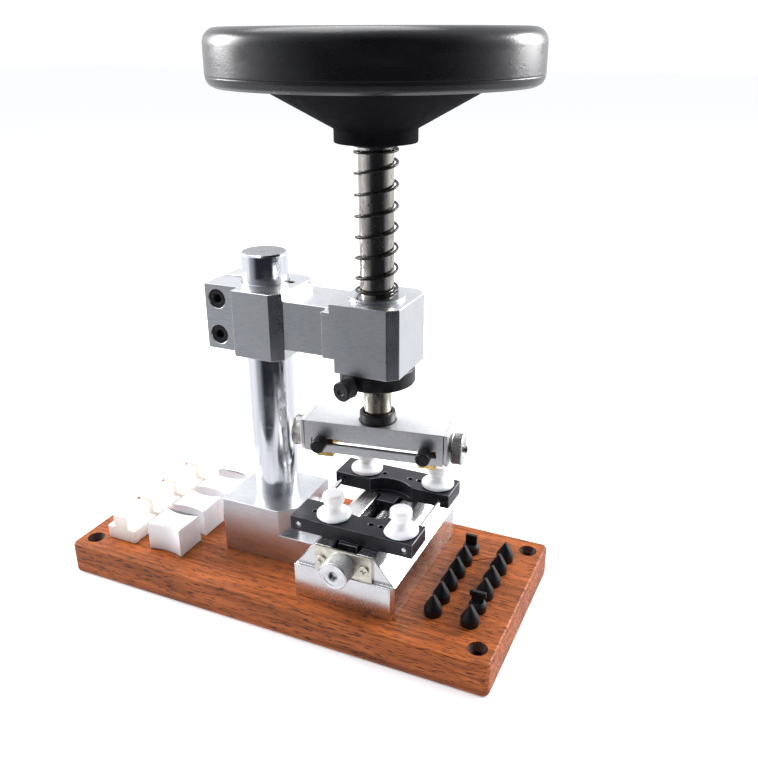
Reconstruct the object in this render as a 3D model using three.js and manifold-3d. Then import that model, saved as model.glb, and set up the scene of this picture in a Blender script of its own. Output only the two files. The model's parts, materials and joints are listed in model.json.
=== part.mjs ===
// Watch case press: a wooden board with a column, a clamped arm, a sprung ram turned by a handwheel,
// a two-tip head on the ram, and a self-centring vice under it. Millimetres, +Z up, origin at the
// middle of the board's underside, +X along the board to the right, +Y to the back.
import * as THREE from 'three';
import { mergeVertices } from 'three/addons/utils/BufferGeometryUtils.js';
import Module from 'manifold-3d';

const wasm = await Module();
wasm.setup();

// ---- wooden board
const BOARD_L = 220;
const BOARD_W = 97;
const BOARD_T = 16;
const BOARD_CORNER_R = 2;
const BOARD_EDGE = 1.2;
const BOARD_HOLE_INSET_X = 8;
const BOARD_HOLE_INSET_Y = 9.5;
const BOARD_HOLE_R = 2.1;
const BOARD_SINK_R = 4.4;
const BOARD_SINK_DEPTH = 3;

// ---- places on the board
const COLUMN_X = -18.2;
const COLUMN_Y = 3;
const RISER_X = -17.1;
const RAM_X = 38.7;

// ---- riser block and column
const RISER_W = 38;
const RISER_D = 38.4;
const RISER_H = 28;
const RISER_CHAMFER = 7;
const FOOT_H = 15;
const COLUMN_R = 10.6;
const COLUMN_H = 119.7;
const COLUMN_CHAMFER = 0.8;

// ---- arm
const ARM_LIFT = 103.7;
const ARM_H = 30.5;
const ARM_D = 35.6;
const EAR_BEYOND = 12.3;
const EAR_FRONT_WALL = 4.8;
const EAR_BACK_WALL = 1.8;
const CLAMP_LEFT = 5.2;
const CLAMP_WALL = 7.6;
const CLAMP_CHAMFER = 4.3;
const SLIT_W = 1.6;
const NECK_D = 27;
const NECK_DROP = 3.3;
const NECK_RISE = 5;
const HEADBLOCK_LEFT = 14.2;
const HEADBLOCK_RIGHT = 16.4;
const HEADBLOCK_CHAMFER = 4.1;
const BACK_CHAMFER = 4.5;
const SHOULDER_L = 3.5;
const SHOULDER_DROP = 3.9;
const SHOULDER_RISE = 6;
const LOW_NOTCH = 2;

// ---- arm fasteners and bush
const CLAMP_SCREW_BEYOND = 5.9;
const CLAMP_SCREW_PITCH = 16.8;
const CLAMP_SCREW_LOW = 7.1;
const CLAMP_HEAD_R = 4.2;
const CLAMP_HEAD_H = 4.6;
const CLAMP_SHANK_R = 2.4;
const CLAMP_SINK = 5.2;
const SOCKET_R = 2.2;
const SOCKET_DEPTH = 2.4;
const SET_SCREW_R = 1.7;
const SET_SCREW_L = 7;
const SET_SCREW_TURN = 8;
const BUSH_WALL = 2.2;
const BUSH_FLANGE_WIDTH = 5;
const BUSH_FLANGE_T = 1;

// ---- ram, spring and stop
const RAM_R = 7.3;
const RAM_LOW_R = 6.2;
const HUB_LIFT = 197.5;
const RAM_IN_HUB = 20;
const SPRING_CLEAR = 0.7;
const WIRE_R = 0.6;
const SPRING_TURNS = 6.5;
const SPRING_LOW_TURNS = 1.25;
const SPRING_TOP_TURNS = 0.8;
const SPRING_END_PITCH = 1.45;
const SPRING_START_TURN = -69;
const SEAT_WIDTH = 1.9;
const SEAT_H = 1.2;
const COLLAR_WALL = 10.5;
const COLLAR_H = 7.2;
const COLLAR_EDGE = 0.6;
const COLLAR_SCREW_UP = 2.6;
const COLLAR_SCREW_TURN = -111.3;
const COLLAR_KNOB_R = 4.5;
const COLLAR_KNOB_L = 6.4;
const COLLAR_KNOB_STAND = 2.4;
const COLLAR_STEM_R = 1.8;
const COLLAR_STEM_IN = 6;

// ---- handwheel
const WHEEL_R = 64.4;
const WHEEL_H = 20.7;
const WHEEL_EDGE_R = 5.5;
const WHEEL_LOW_EDGE = 3;
const WHEEL_EDGE_STEPS = 6;
const HUB_WALL = 9.4;
const HUB_H = 5.3;
const CONE_R = 46;
const CONE_H = 15.8;

// ---- head on the ram
const HEAD_TURN = 8.9;
const HEAD_LIFT = 61.6;
const HEAD_H = 15.2;
const HEAD_L = 64;
const HEAD_D = 18.5;
const HEAD_WALL = 2.5;
const HEAD_ROOF = 3.2;
const HEAD_LIP_T = 1.5;
const SLOT_L = 57.8;
const SLOT_H = 3.05;
const HEAD_AXIS_UP = 5.4;
const END_PLATE_T = 1.5;
const END_PLATE_DROP = 1.6;
const END_PLATE_R = 5;
const HEAD_SCREW_R = 2;
const HEAD_SCREW_PROUD = 1.8;
const HEAD_KNOB_R = 7.3;
const HEAD_KNOB_L = 5;
const HEAD_KNOB_STAND = 0.8;
const KNOB_EDGE = 0.5;
const RING_NUT_WALL = 1.9;
const RING_NUT_H = 5.3;
const RING_NUT_SINK = 1;
const RING_NUT_EDGE = 0.9;
const CARRIER_OUT = 24;
const CARRIER_L = 8;
const CARRIER_D = 10;
const CARRIER_FOOT_BACK = 1.5;
const CARRIER_DROP = 4.3;
const CARRIER_TOP_UP = 9.2;
const CARRIER_BORE_R = 1.6;
const CARRIER_BORE_DEPTH = 5;
const THUMB_R = 3.25;
const THUMB_L = 6.2;
const THUMB_STEM_R = 0.9;
const THUMB_STEM_IN = 2;

// ---- vice bed
const BED_W = 49;
const BED_BEYOND_JAWS = 7.4;
const BED_LOW_H = 16.6;
const BED_H = 29;
const BED_CHAMFER = 2;
const BED_LEDGE = 2;
const BED_SIDE_LEDGE = 0.6;
const BED_TOP_W = 27.9;
const GROOVE_W = 12.8;
const GROOVE_LOW_W = 9.8;
const GROOVE_TAPER = 4;
const GROOVE_DEPTH = 11.6;
const GROOVE_END_WALL = 3;
const PLATE_T = 1.6;
const PLATE_W = 27.8;
const PLATE_H = 12.4;
const PLATE_SCREW_OUT = 10.4;
const PLATE_SCREW_R = 1.2;
const PLATE_SCREW_HEAD_R = 2.3;
const PLATE_SCREW_HEAD_H = 1;
const CROSS_HALF_L = 1.4;
const CROSS_HALF_W = 0.36;
const CROSS_DEPTH = 0.6;
const PLATE_SCREW_L = 4;
const VICE_SCREW_R = 2.5;
const VICE_SCREW_DROP = 6.4;
const VICE_KNOB_R = 6.6;
const VICE_KNOB_L = 9;
const VICE_KNOB_BORE = 4.8;
const VICE_SOCKET_R = 1.75;
const VICE_SOCKET_DEPTH = 1.6;

// ---- jaws, rods and pins
const JAW_L = 59.6;
const JAW_D = 16.3;
const JAW_T = 7;
const JAW_GAP = 28.6;
const JAW_ARC_W = 22;
const JAW_ARC_DEPTH = 4.6;
const JAW_LIFT = 0.3;
const LUG_W = 9;
const LUG_DEPTH = 10.6;
const LUG_INWARD = 6.4;
const LUG_OUTWARD = 2;
const ROD_R = 1.25;
const ROD_OUT = 25.8;
const ROD_IN_BACK_JAW = 9;
const PEG_FIRST = 6.8;
const PEG_PITCH = 4.8;
const PEG_COUNT = 4;
const PEG_R = 1;
const PEG_DEPTH = 4;
const PIN_R = 7.8;
const PIN_FLANGE_T = 1.8;
const PIN_NECK_R = 3.6;
const PIN_NECK_LOW = 4.4;
const PIN_NECK_HIGH = 6.2;
const PIN_CAP_R = 4.9;
const PIN_CAP_LOW = 7.3;
const PIN_H = 11.4;
const PIN_CAP_EDGE = 0.7;
const PIN_FLAT = 6.2;

// ---- spare blocks and spare bits parked on the board
const BLOCK_FRONT = 12.7;
const BLOCK_PITCH = 20.2;
const BLOCK_COUNT = 4;
const RIDGE_X = -87.9;
const RIDGE_W = 16.5;
const RIDGE_D = 17.4;
const RIDGE_BASE_H = 7.2;
const RIDGE_TOP_W = 8.2;
const RIDGE_H = 14.4;
const HOLLOW_X = -60.8;
const HOLLOW_W = 18.8;
const HOLLOW_D = 16.4;
const HOLLOW_H = 14.6;
const HOLLOW_DIP = 1.5;
const HOLLOW_BACK_DIP = 2.4;
const HOLLOW_NOTCH_R = 2.4;
const HOLLOW_NOTCH_DOWN = 3.4;
const BIT_X = [76.6, 93.8];
const BIT_FRONT_Y = -25.1;
const BIT_PITCH = 10.4;
const BIT_COUNT = 6;
const BIT_R = 4.1;
const BIT_BODY_H = 3.4;
const BIT_H = 9.8;
const BIT_TIP_R = 0.9;
const BIT_FLAT_HALF = 0.35;
const BIT_SHANK_R = 1.9;
const BIT_SHANK_L = 8;
const BLADE_T = 1.6;
const BLADE_W = 5.6;
const BLADE_TOP_W = 7.4;
const BLADE_TOP_H = 2.6;
const BLADE_COLLAR_H = 4.8;
const BLADE_COLLAR_TOP_R = 3.1;

// ---- clearances
const SLIDE_GAP = 0.2;
const FIT_GAP = 0.3;
const THROUGH = 1;

// ---- facets round a circle
const ROUND = 40;
const MEDIUM_ROUND = 28;
const SMALL_ROUND = 16;
const WHEEL_ROUND = 56;
const PIN_ROUND = 24;
const HOLLOW_ROUND = 60;
const PEG_ROUND = 12;
const HEX = 6;
const SPRING_STEPS_PER_TURN = 16;
const WIRE_FACETS = 3;
const BOARD_CORNER_STEPS = 4;
const BOARD_EDGE_STEPS = 2;
const WELD = 1e-4;

// ---- sizes that follow the piece they fit round
const EAR_REACH = COLUMN_R + EAR_BEYOND;
const EAR_FRONT = COLUMN_R - COLUMN_Y + EAR_FRONT_WALL;
const EAR_BACK = COLUMN_R + COLUMN_Y + EAR_BACK_WALL;
const CLAMP_SCREW_REACH = COLUMN_R + CLAMP_SCREW_BEYOND;
const SET_SCREW_REACH = COLUMN_R + SLIDE_GAP + SET_SCREW_R;
const BUSH_FLANGE_R = RAM_R + BUSH_FLANGE_WIDTH;
const SPRING_R = RAM_R + SPRING_CLEAR + WIRE_R;
const SEAT_R = RAM_R + SEAT_WIDTH;
const HUB_R = RAM_R + HUB_WALL;
const COLLAR_R = RAM_LOW_R + COLLAR_WALL;
const RING_NUT_R = RAM_LOW_R + RING_NUT_WALL;
const BED_D = JAW_GAP + 2 * (JAW_D + BED_BEYOND_JAWS);

// ---- levels worked out from the sizes above
const DECK = BOARD_T;
const RISER_TOP = DECK + RISER_H;
const ARM_Z = DECK + ARM_LIFT;
const ARM_TOP = ARM_Z + ARM_H;
const HUB_Z = DECK + HUB_LIFT;
const SEAT_Z = HUB_Z - FIT_GAP - SEAT_H;
const SPRING_Z = ARM_TOP + BUSH_FLANGE_T;
const COLLAR_Z = ARM_Z - FIT_GAP - COLLAR_H;
const HEAD_Z = DECK + HEAD_LIFT;
const HEAD_TOP = HEAD_Z + HEAD_H;
const HEAD_AXIS_Z = HEAD_Z + HEAD_AXIS_UP;
const BED_LOW_TOP = DECK + BED_LOW_H;
const BED_TOP = DECK + BED_H;
const VICE_AXIS_Z = BED_TOP - VICE_SCREW_DROP;
const JAW_Z = BED_TOP + JAW_LIFT;
const JAW_TOP = JAW_Z + JAW_T;
const ROD_Z = JAW_Z + JAW_T / 2;
const BED_FRONT = -BED_D / 2;
const BED_UPPER_FRONT = BED_FRONT + BED_LEDGE;
const PLATE_FRONT = BED_UPPER_FRONT - PLATE_T;

// ---------------------------------------------------------------- solids

function toSolid(geometry) {
  const bare = geometry.index ? geometry.toNonIndexed() : geometry.clone();
  for (const name of Object.keys(bare.attributes)) {
    if (name !== 'position') bare.deleteAttribute(name);
  }
  const welded = mergeVertices(bare, WELD);
  const corners = welded.index.array;
  const kept = [];
  for (let i = 0; i < corners.length; i += 3) {
    const [a, b, c] = [corners[i], corners[i + 1], corners[i + 2]];
    if (a !== b && b !== c && c !== a) kept.push(a, b, c);
  }
  return new wasm.Manifold(new wasm.Mesh({
    numProp: 3,
    vertProperties: welded.attributes.position.array,
    triVerts: Uint32Array.from(kept),
  }));
}

function toGeometry(solid) {
  const mesh = solid.getMesh();
  const geometry = new THREE.BufferGeometry();
  geometry.setAttribute('position', new THREE.BufferAttribute(mesh.vertProperties, 3));
  geometry.setIndex(new THREE.BufferAttribute(mesh.triVerts, 1));
  const faceted = geometry.toNonIndexed();
  faceted.computeVertexNormals();
  return faceted;
}

function combine(first, { add = [], cut = [] }) {
  let solid = toSolid(first);
  for (const piece of add) solid = solid.add(toSolid(piece));
  for (const piece of cut) solid = solid.subtract(toSolid(piece));
  return toGeometry(solid);
}

function box(x0, x1, y0, y1, z0, z1) {
  const geometry = new THREE.BoxGeometry(x1 - x0, y1 - y0, z1 - z0);
  return geometry.translate((x0 + x1) / 2, (y0 + y1) / 2, (z0 + z1) / 2);
}

function rodZ(x, y, z0, z1, r, facets = MEDIUM_ROUND) {
  const geometry = new THREE.CylinderGeometry(r, r, z1 - z0, facets);
  return geometry.rotateX(Math.PI / 2).translate(x, y, (z0 + z1) / 2);
}

function rodY(x, y0, y1, z, r, facets = SMALL_ROUND) {
  const geometry = new THREE.CylinderGeometry(r, r, y1 - y0, facets);
  return geometry.translate(x, (y0 + y1) / 2, z);
}

function rodX(x0, x1, y, z, r, facets = SMALL_ROUND) {
  const geometry = new THREE.CylinderGeometry(r, r, x1 - x0, facets);
  return geometry.rotateZ(Math.PI / 2).translate((x0 + x1) / 2, y, z);
}

// A profile of [radius, height] points turned about the Z axis.
function turned(profile, facets = MEDIUM_ROUND) {
  const points = profile.map(([r, z]) => new THREE.Vector2(r, z));
  return new THREE.LatheGeometry(points, facets).rotateX(Math.PI / 2);
}

// A cylinder along Z with a bevel at both rims, standing on z = 0.
function bevelled(r, h, bevel, facets = MEDIUM_ROUND) {
  return turned([[0, 0], [r - bevel, 0], [r, bevel], [r, h - bevel], [r - bevel, h], [0, h]], facets);
}

function outline(points) {
  return new THREE.Shape(points.map(([x, y]) => new THREE.Vector2(x, y)));
}

function plateZ(shape, z0, z1) {
  const geometry = new THREE.ExtrudeGeometry(shape, {
    depth: z1 - z0,
    bevelEnabled: false,
    curveSegments: SMALL_ROUND / 2,
  });
  return geometry.translate(0, 0, z0);
}

// A shape drawn in X and Z, carried from y0 back to y1.
function plateY(shape, y0, y1) {
  return plateZ(shape, -y1, -y0).rotateX(Math.PI / 2);
}

// A shape drawn in Y and Z, carried from x0 to x1.
function plateX(shape, x0, x1) {
  const turn = new THREE.Matrix4().set(0, 0, 1, 0, 1, 0, 0, 0, 0, 1, 0, 0, 0, 0, 0, 1);
  return plateZ(shape, x0, x1).applyMatrix4(turn);
}

function mesh(name, geometry, look) {
  const material = new THREE.MeshStandardMaterial(look);
  const piece = new THREE.Mesh(geometry, material);
  piece.name = name;
  return piece;
}

// ---------------------------------------------------------------- materials

const WOOD = { color: 0x8a4326, roughness: 0.55, metalness: 0 };
const ALUMINIUM = { color: 0xc6c9cc, roughness: 0.34, metalness: 1 };
const POLISHED = { color: 0xd4d7db, roughness: 0.12, metalness: 1 };
const CHROME = { color: 0xb9b4a8, roughness: 0.2, metalness: 1 };
const NICKEL = { color: 0xd9d3bd, roughness: 0.3, metalness: 1 };
const BRASS = { color: 0xb08a3c, roughness: 0.35, metalness: 1 };
const BLACK_STEEL = { color: 0x1c1c1f, roughness: 0.4, metalness: 0.6 };
const BLACK_PLASTIC = { color: 0x17171b, roughness: 0.42, metalness: 0 };
const ANODISED = { color: 0x25252d, roughness: 0.45, metalness: 0.4 };
const NYLON = { color: 0xf2f0ea, roughness: 0.45, metalness: 0 };

// ---------------------------------------------------------------- board, riser and column

function roundedRectangle(length, width, r) {
  const [x, y] = [length / 2, width / 2];
  const shape = new THREE.Shape();
  shape.moveTo(-x + r, -y);
  shape.lineTo(x - r, -y);
  shape.absarc(x - r, -y + r, r, -Math.PI / 2, 0);
  shape.lineTo(x, y - r);
  shape.absarc(x - r, y - r, r, 0, Math.PI / 2);
  shape.lineTo(-x + r, y);
  shape.absarc(-x + r, y - r, r, Math.PI / 2, Math.PI);
  shape.lineTo(-x, -y + r);
  shape.absarc(-x + r, -y + r, r, Math.PI, 1.5 * Math.PI);
  return shape;
}

function bitPlaces() {
  return BIT_X.flatMap((x) => Array.from({ length: BIT_COUNT }, (_, i) => [x, BIT_FRONT_Y + i * BIT_PITCH]));
}

function boardGeometry() {
  const slab = new THREE.ExtrudeGeometry(
    roundedRectangle(BOARD_L - 2 * BOARD_EDGE, BOARD_W - 2 * BOARD_EDGE, BOARD_CORNER_R),
    {
      depth: BOARD_T - 2 * BOARD_EDGE,
      bevelEnabled: true,
      bevelThickness: BOARD_EDGE,
      bevelSize: BOARD_EDGE,
      bevelSegments: BOARD_EDGE_STEPS,
      curveSegments: BOARD_CORNER_STEPS,
    },
  ).translate(0, 0, BOARD_EDGE);
  const sunk = turned([
    [0, -THROUGH],
    [BOARD_HOLE_R, -THROUGH],
    [BOARD_HOLE_R, DECK - BOARD_SINK_DEPTH],
    [BOARD_SINK_R, DECK],
    [BOARD_SINK_R, DECK + THROUGH],
    [0, DECK + THROUGH],
  ], SMALL_ROUND);
  const holes = [-1, 1].flatMap((sx) => [-1, 1].map((sy) => sunk.clone().translate(
    sx * (BOARD_L / 2 - BOARD_HOLE_INSET_X),
    sy * (BOARD_W / 2 - BOARD_HOLE_INSET_Y),
    0,
  )));
  const sockets = bitPlaces().map(([x, y]) => rodZ(
    x, y, DECK - BIT_SHANK_L - THROUGH, DECK + THROUGH, BIT_SHANK_R + FIT_GAP, SMALL_ROUND,
  ));
  return combine(slab, { cut: [...holes, ...sockets] });
}

function riserGeometry() {
  const [x0, x1, y] = [RISER_X - RISER_W / 2, RISER_X + RISER_W / 2, RISER_D / 2];
  const tower = plateZ(outline([
    [x0, -y], [x1 - RISER_CHAMFER, -y], [x1, -y + RISER_CHAMFER], [x1, y], [x0, y],
  ]), DECK, RISER_TOP);
  const foot = box(x0, RAM_X - BED_W / 2, -y, y, DECK, DECK + FOOT_H);
  return combine(tower, { add: [foot] });
}

function columnGeometry() {
  return bevelled(COLUMN_R, COLUMN_H, COLUMN_CHAMFER, ROUND).translate(COLUMN_X, COLUMN_Y, RISER_TOP);
}

// ---------------------------------------------------------------- arm

function clampScrewHeights() {
  return [ARM_Z + CLAMP_SCREW_LOW, ARM_Z + CLAMP_SCREW_LOW + CLAMP_SCREW_PITCH];
}

// The set screw stands in the edge of the column's bore.
function setScrewPlace() {
  const turn = THREE.MathUtils.degToRad(SET_SCREW_TURN);
  return [COLUMN_X + SET_SCREW_REACH * Math.cos(turn), COLUMN_Y + SET_SCREW_REACH * Math.sin(turn)];
}

function armGeometry() {
  const half = ARM_D / 2;
  const clampLeft = COLUMN_X - CLAMP_LEFT;
  const clampRight = COLUMN_X + COLUMN_R + CLAMP_WALL;
  const earLeft = COLUMN_X - EAR_REACH;
  const blockLeft = RAM_X - HEADBLOCK_LEFT;
  const blockRight = RAM_X + HEADBLOCK_RIGHT;
  const clamp = plateZ(outline([
    [clampLeft, -half], [clampRight - CLAMP_CHAMFER, -half], [clampRight, -half + CLAMP_CHAMFER],
    [clampRight, half - BACK_CHAMFER], [clampRight - BACK_CHAMFER, half], [clampLeft, half],
  ]), ARM_Z, ARM_TOP);
  const ear = box(earLeft, clampLeft + THROUGH, -EAR_FRONT, EAR_BACK, ARM_Z, ARM_TOP);
  const neck = box(
    clampRight - THROUGH, blockLeft + THROUGH, -NECK_D / 2, NECK_D / 2,
    ARM_Z + NECK_RISE, ARM_TOP - NECK_DROP,
  );
  const shoulder = box(
    blockLeft - SHOULDER_L, blockLeft + THROUGH, -half, half, ARM_Z + SHOULDER_RISE, ARM_TOP - SHOULDER_DROP,
  );
  const block = plateZ(outline([
    [blockLeft, -half], [blockRight - HEADBLOCK_CHAMFER, -half], [blockRight, -half + HEADBLOCK_CHAMFER],
    [blockRight, half - BACK_CHAMFER], [blockRight - BACK_CHAMFER, half], [blockLeft, half],
  ]), ARM_Z, ARM_TOP);
  const columnBore = rodZ(
    COLUMN_X, COLUMN_Y, ARM_Z - THROUGH, ARM_TOP + THROUGH, COLUMN_R + SLIDE_GAP, ROUND,
  );
  const bushBore = rodZ(
    RAM_X, 0, ARM_Z - THROUGH, ARM_TOP + THROUGH, RAM_R + SLIDE_GAP + BUSH_WALL + FIT_GAP, MEDIUM_ROUND,
  );
  const slit = box(
    earLeft - THROUGH, COLUMN_X, COLUMN_Y - SLIT_W / 2, COLUMN_Y + SLIT_W / 2,
    ARM_Z - THROUGH, ARM_TOP + THROUGH,
  );
  const lowNotch = box(
    blockLeft - THROUGH, blockLeft + LOW_NOTCH, -half - THROUGH, half + THROUGH,
    ARM_Z - THROUGH, ARM_Z + SHOULDER_RISE,
  );
  const screwX = COLUMN_X - CLAMP_SCREW_REACH;
  const screwHoles = clampScrewHeights().flatMap((z) => [
    rodY(screwX, -EAR_FRONT - THROUGH, EAR_BACK + THROUGH, z, CLAMP_SHANK_R + FIT_GAP),
    rodY(screwX, -EAR_FRONT - THROUGH, -EAR_FRONT + CLAMP_SINK, z, CLAMP_HEAD_R + FIT_GAP),
  ]);
  const [setX, setY] = setScrewPlace();
  const setHole = rodZ(
    setX, setY,
    ARM_TOP - SET_SCREW_L - FIT_GAP, ARM_TOP + THROUGH, SET_SCREW_R + SLIDE_GAP, SMALL_ROUND,
  );
  return combine(clamp, {
    add: [ear, neck, shoulder, block],
    cut: [columnBore, bushBore, slit, lowNotch, ...screwHoles, setHole],
  });
}

// A socket-head screw along +Y with its head's outer face at y = 0.
function capScrewGeometry() {
  const reach = EAR_FRONT + EAR_BACK - 2 * (CLAMP_SINK - CLAMP_HEAD_H);
  const head = rodY(0, 0, CLAMP_HEAD_H, 0, CLAMP_HEAD_R);
  const shank = rodY(0, CLAMP_HEAD_H - THROUGH / 2, reach, 0, CLAMP_SHANK_R);
  const socket = rodY(0, -THROUGH, SOCKET_DEPTH, 0, SOCKET_R, HEX);
  return combine(head, { add: [shank], cut: [socket] });
}

function setScrewGeometry() {
  const body = rodZ(0, 0, -SET_SCREW_L, -SLIDE_GAP, SET_SCREW_R, SMALL_ROUND);
  const socket = rodZ(0, 0, -SOCKET_DEPTH, THROUGH, SET_SCREW_R / 2, HEX);
  return combine(body, { cut: [socket] });
}

function bushGeometry() {
  const inner = RAM_R + SLIDE_GAP;
  const outer = inner + BUSH_WALL;
  return turned([
    [inner, ARM_Z], [outer, ARM_Z], [outer, ARM_TOP], [BUSH_FLANGE_R, ARM_TOP],
    [BUSH_FLANGE_R, SPRING_Z], [inner, SPRING_Z], [inner, ARM_Z],
  ]).translate(RAM_X, 0, 0);
}

// ---------------------------------------------------------------- ram and handwheel
// These pieces are drawn about their own axis, in the group that turns with the ram.

function ramGeometry() {
  const top = HUB_Z + RAM_IN_HUB;
  return turned([
    [0, HEAD_TOP - HEAD_ROOF + FIT_GAP], [RAM_LOW_R, HEAD_TOP - HEAD_ROOF + FIT_GAP], [RAM_LOW_R, ARM_Z],
    [RAM_R, ARM_Z], [RAM_R, top], [0, top],
  ]);
}

function seatGeometry() {
  const bore = RAM_R + FIT_GAP;
  return turned([
    [bore, SEAT_Z], [SEAT_R, SEAT_Z], [SEAT_R, SEAT_Z + SEAT_H], [bore, SEAT_Z + SEAT_H], [bore, SEAT_Z],
  ]).translate(RAM_X, 0, 0);
}

function wheelGeometry() {
  const coneTop = HUB_Z + HUB_H + CONE_H;
  const top = coneTop + WHEEL_H;
  const bore = RAM_R + FIT_GAP;
  const boreTop = HUB_Z + RAM_IN_HUB + FIT_GAP;
  const rim = [];
  for (let i = 0; i <= WHEEL_EDGE_STEPS; i += 1) {
    const angle = (i / WHEEL_EDGE_STEPS) * Math.PI / 2;
    rim.push([
      WHEEL_R - WHEEL_EDGE_R + WHEEL_EDGE_R * Math.cos(angle),
      top - WHEEL_EDGE_R + WHEEL_EDGE_R * Math.sin(angle),
    ]);
  }
  return turned([
    [0, boreTop], [bore, boreTop], [bore, HUB_Z], [HUB_R, HUB_Z], [HUB_R, HUB_Z + HUB_H], [CONE_R, coneTop],
    [WHEEL_R - WHEEL_LOW_EDGE, coneTop], [WHEEL_R, coneTop + WHEEL_LOW_EDGE],
    ...rim, [0, top],
  ], WHEEL_ROUND);
}

class SpringLine extends THREE.Curve {
  constructor(height) {
    super();
    const closed = SPRING_LOW_TURNS + SPRING_TOP_TURNS;
    this.turns = SPRING_TURNS + closed;
    this.rise = (height - closed * SPRING_END_PITCH) / SPRING_TURNS;
  }

  getPoint(t, target = new THREE.Vector3()) {
    const turn = t * this.turns;
    const low = Math.min(turn, SPRING_LOW_TURNS) * SPRING_END_PITCH;
    const open = Math.min(Math.max(turn - SPRING_LOW_TURNS, 0), SPRING_TURNS) * this.rise;
    const high = Math.max(turn - SPRING_LOW_TURNS - SPRING_TURNS, 0) * SPRING_END_PITCH;
    const angle = turn * 2 * Math.PI + THREE.MathUtils.degToRad(SPRING_START_TURN);
    return target.set(SPRING_R * Math.cos(angle), SPRING_R * Math.sin(angle), low + open + high);
  }
}

function springGeometry() {
  const height = SEAT_Z - SPRING_Z - 2 * (WIRE_R + FIT_GAP);
  const line = new SpringLine(height);
  const section = new THREE.Shape();
  section.absarc(0, 0, WIRE_R, 0, 2 * Math.PI);
  const wire = new THREE.ExtrudeGeometry(section, {
    steps: Math.round(line.turns * SPRING_STEPS_PER_TURN),
    curveSegments: WIRE_FACETS,
    bevelEnabled: false,
    extrudePath: line,
  });
  return wire.translate(RAM_X, 0, SPRING_Z + WIRE_R + FIT_GAP);
}

function collarGeometry() {
  const z = COLLAR_Z + COLLAR_SCREW_UP;
  const disc = bevelled(COLLAR_R, COLLAR_H, COLLAR_EDGE, ROUND).translate(0, 0, COLLAR_Z);
  const bore = rodZ(0, 0, COLLAR_Z - THROUGH, COLLAR_Z + COLLAR_H + THROUGH, RAM_LOW_R + FIT_GAP);
  const tapped = rodX(0, COLLAR_R + THROUGH, 0, z, COLLAR_STEM_R + FIT_GAP)
    .rotateZ(THREE.MathUtils.degToRad(COLLAR_SCREW_TURN));
  return combine(disc, { cut: [bore, tapped] });
}

// The screw lies along +X from the collar, its axis at z = 0.
function collarScrewGeometry() {
  const knobStart = COLLAR_R + COLLAR_KNOB_STAND;
  const knob = rodX(knobStart, knobStart + COLLAR_KNOB_L, 0, 0, COLLAR_KNOB_R, MEDIUM_ROUND);
  const stem = rodX(COLLAR_R - COLLAR_STEM_IN, knobStart + THROUGH, 0, 0, COLLAR_STEM_R);
  return combine(knob, { add: [stem] });
}

// ---------------------------------------------------------------- head

function ringNutGeometry() {
  const z = HEAD_TOP - RING_NUT_SINK + FIT_GAP;
  const body = bevelled(RING_NUT_R, RING_NUT_H, RING_NUT_EDGE).translate(0, 0, z);
  const bore = rodZ(0, 0, z - THROUGH, z + RING_NUT_H + THROUGH, RAM_LOW_R + FIT_GAP);
  return combine(body, { cut: [bore] });
}

// A channel with lips at its mouth, which hold the carriers up.
function housingGeometry() {
  const [x, y] = [HEAD_L / 2, HEAD_D / 2];
  const body = box(-x, x, -y, y, HEAD_Z, HEAD_TOP);
  const channel = box(
    -x - THROUGH, x + THROUGH, -y + HEAD_WALL, y - HEAD_WALL, HEAD_Z + HEAD_LIP_T, HEAD_TOP - HEAD_ROOF,
  );
  const mouth = box(
    -x - THROUGH, x + THROUGH, -CARRIER_D / 2 - FIT_GAP, CARRIER_FOOT_BACK + FIT_GAP,
    HEAD_Z - THROUGH, HEAD_Z + HEAD_LIP_T + THROUGH,
  );
  const slot = box(
    -SLOT_L / 2, SLOT_L / 2, -y - THROUGH, -y + HEAD_WALL + THROUGH,
    HEAD_AXIS_Z - SLOT_H / 2, HEAD_AXIS_Z + SLOT_H / 2,
  );
  const bore = rodZ(0, 0, HEAD_TOP - HEAD_ROOF - THROUGH, HEAD_TOP + THROUGH, RAM_LOW_R + FIT_GAP);
  const nutSeat = rodZ(0, 0, HEAD_TOP - RING_NUT_SINK, HEAD_TOP + THROUGH, RING_NUT_R + FIT_GAP);
  return combine(body, { cut: [channel, mouth, slot, bore, nutSeat] });
}

function endPlateGeometry(side) {
  const [y, low, r] = [HEAD_D / 2, HEAD_Z - END_PLATE_DROP, END_PLATE_R];
  const shape = new THREE.Shape();
  shape.moveTo(-y, HEAD_TOP);
  shape.lineTo(-y, low + r);
  shape.absarc(-y + r, low + r, r, Math.PI, 1.5 * Math.PI);
  shape.lineTo(y - r, low);
  shape.absarc(y - r, low + r, r, 1.5 * Math.PI, 2 * Math.PI);
  shape.lineTo(y, HEAD_TOP);
  const inner = HEAD_L / 2 + FIT_GAP;
  const plate = side > 0
    ? plateX(shape, inner, inner + END_PLATE_T)
    : plateX(shape, -inner - END_PLATE_T, -inner);
  const reach = inner + END_PLATE_T + THROUGH;
  const bore = rodX(-reach, reach, 0, HEAD_AXIS_Z, HEAD_SCREW_R + FIT_GAP);
  return combine(plate, { cut: [bore] });
}

function headKnobStart() {
  return HEAD_L / 2 + FIT_GAP + END_PLATE_T + HEAD_KNOB_STAND;
}

function headScrewGeometry() {
  const left = -headKnobStart() - HEAD_KNOB_L + FIT_GAP;
  const right = headKnobStart() + HEAD_KNOB_L + HEAD_SCREW_PROUD;
  return rodX(left, right, 0, HEAD_AXIS_Z, HEAD_SCREW_R);
}

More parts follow.
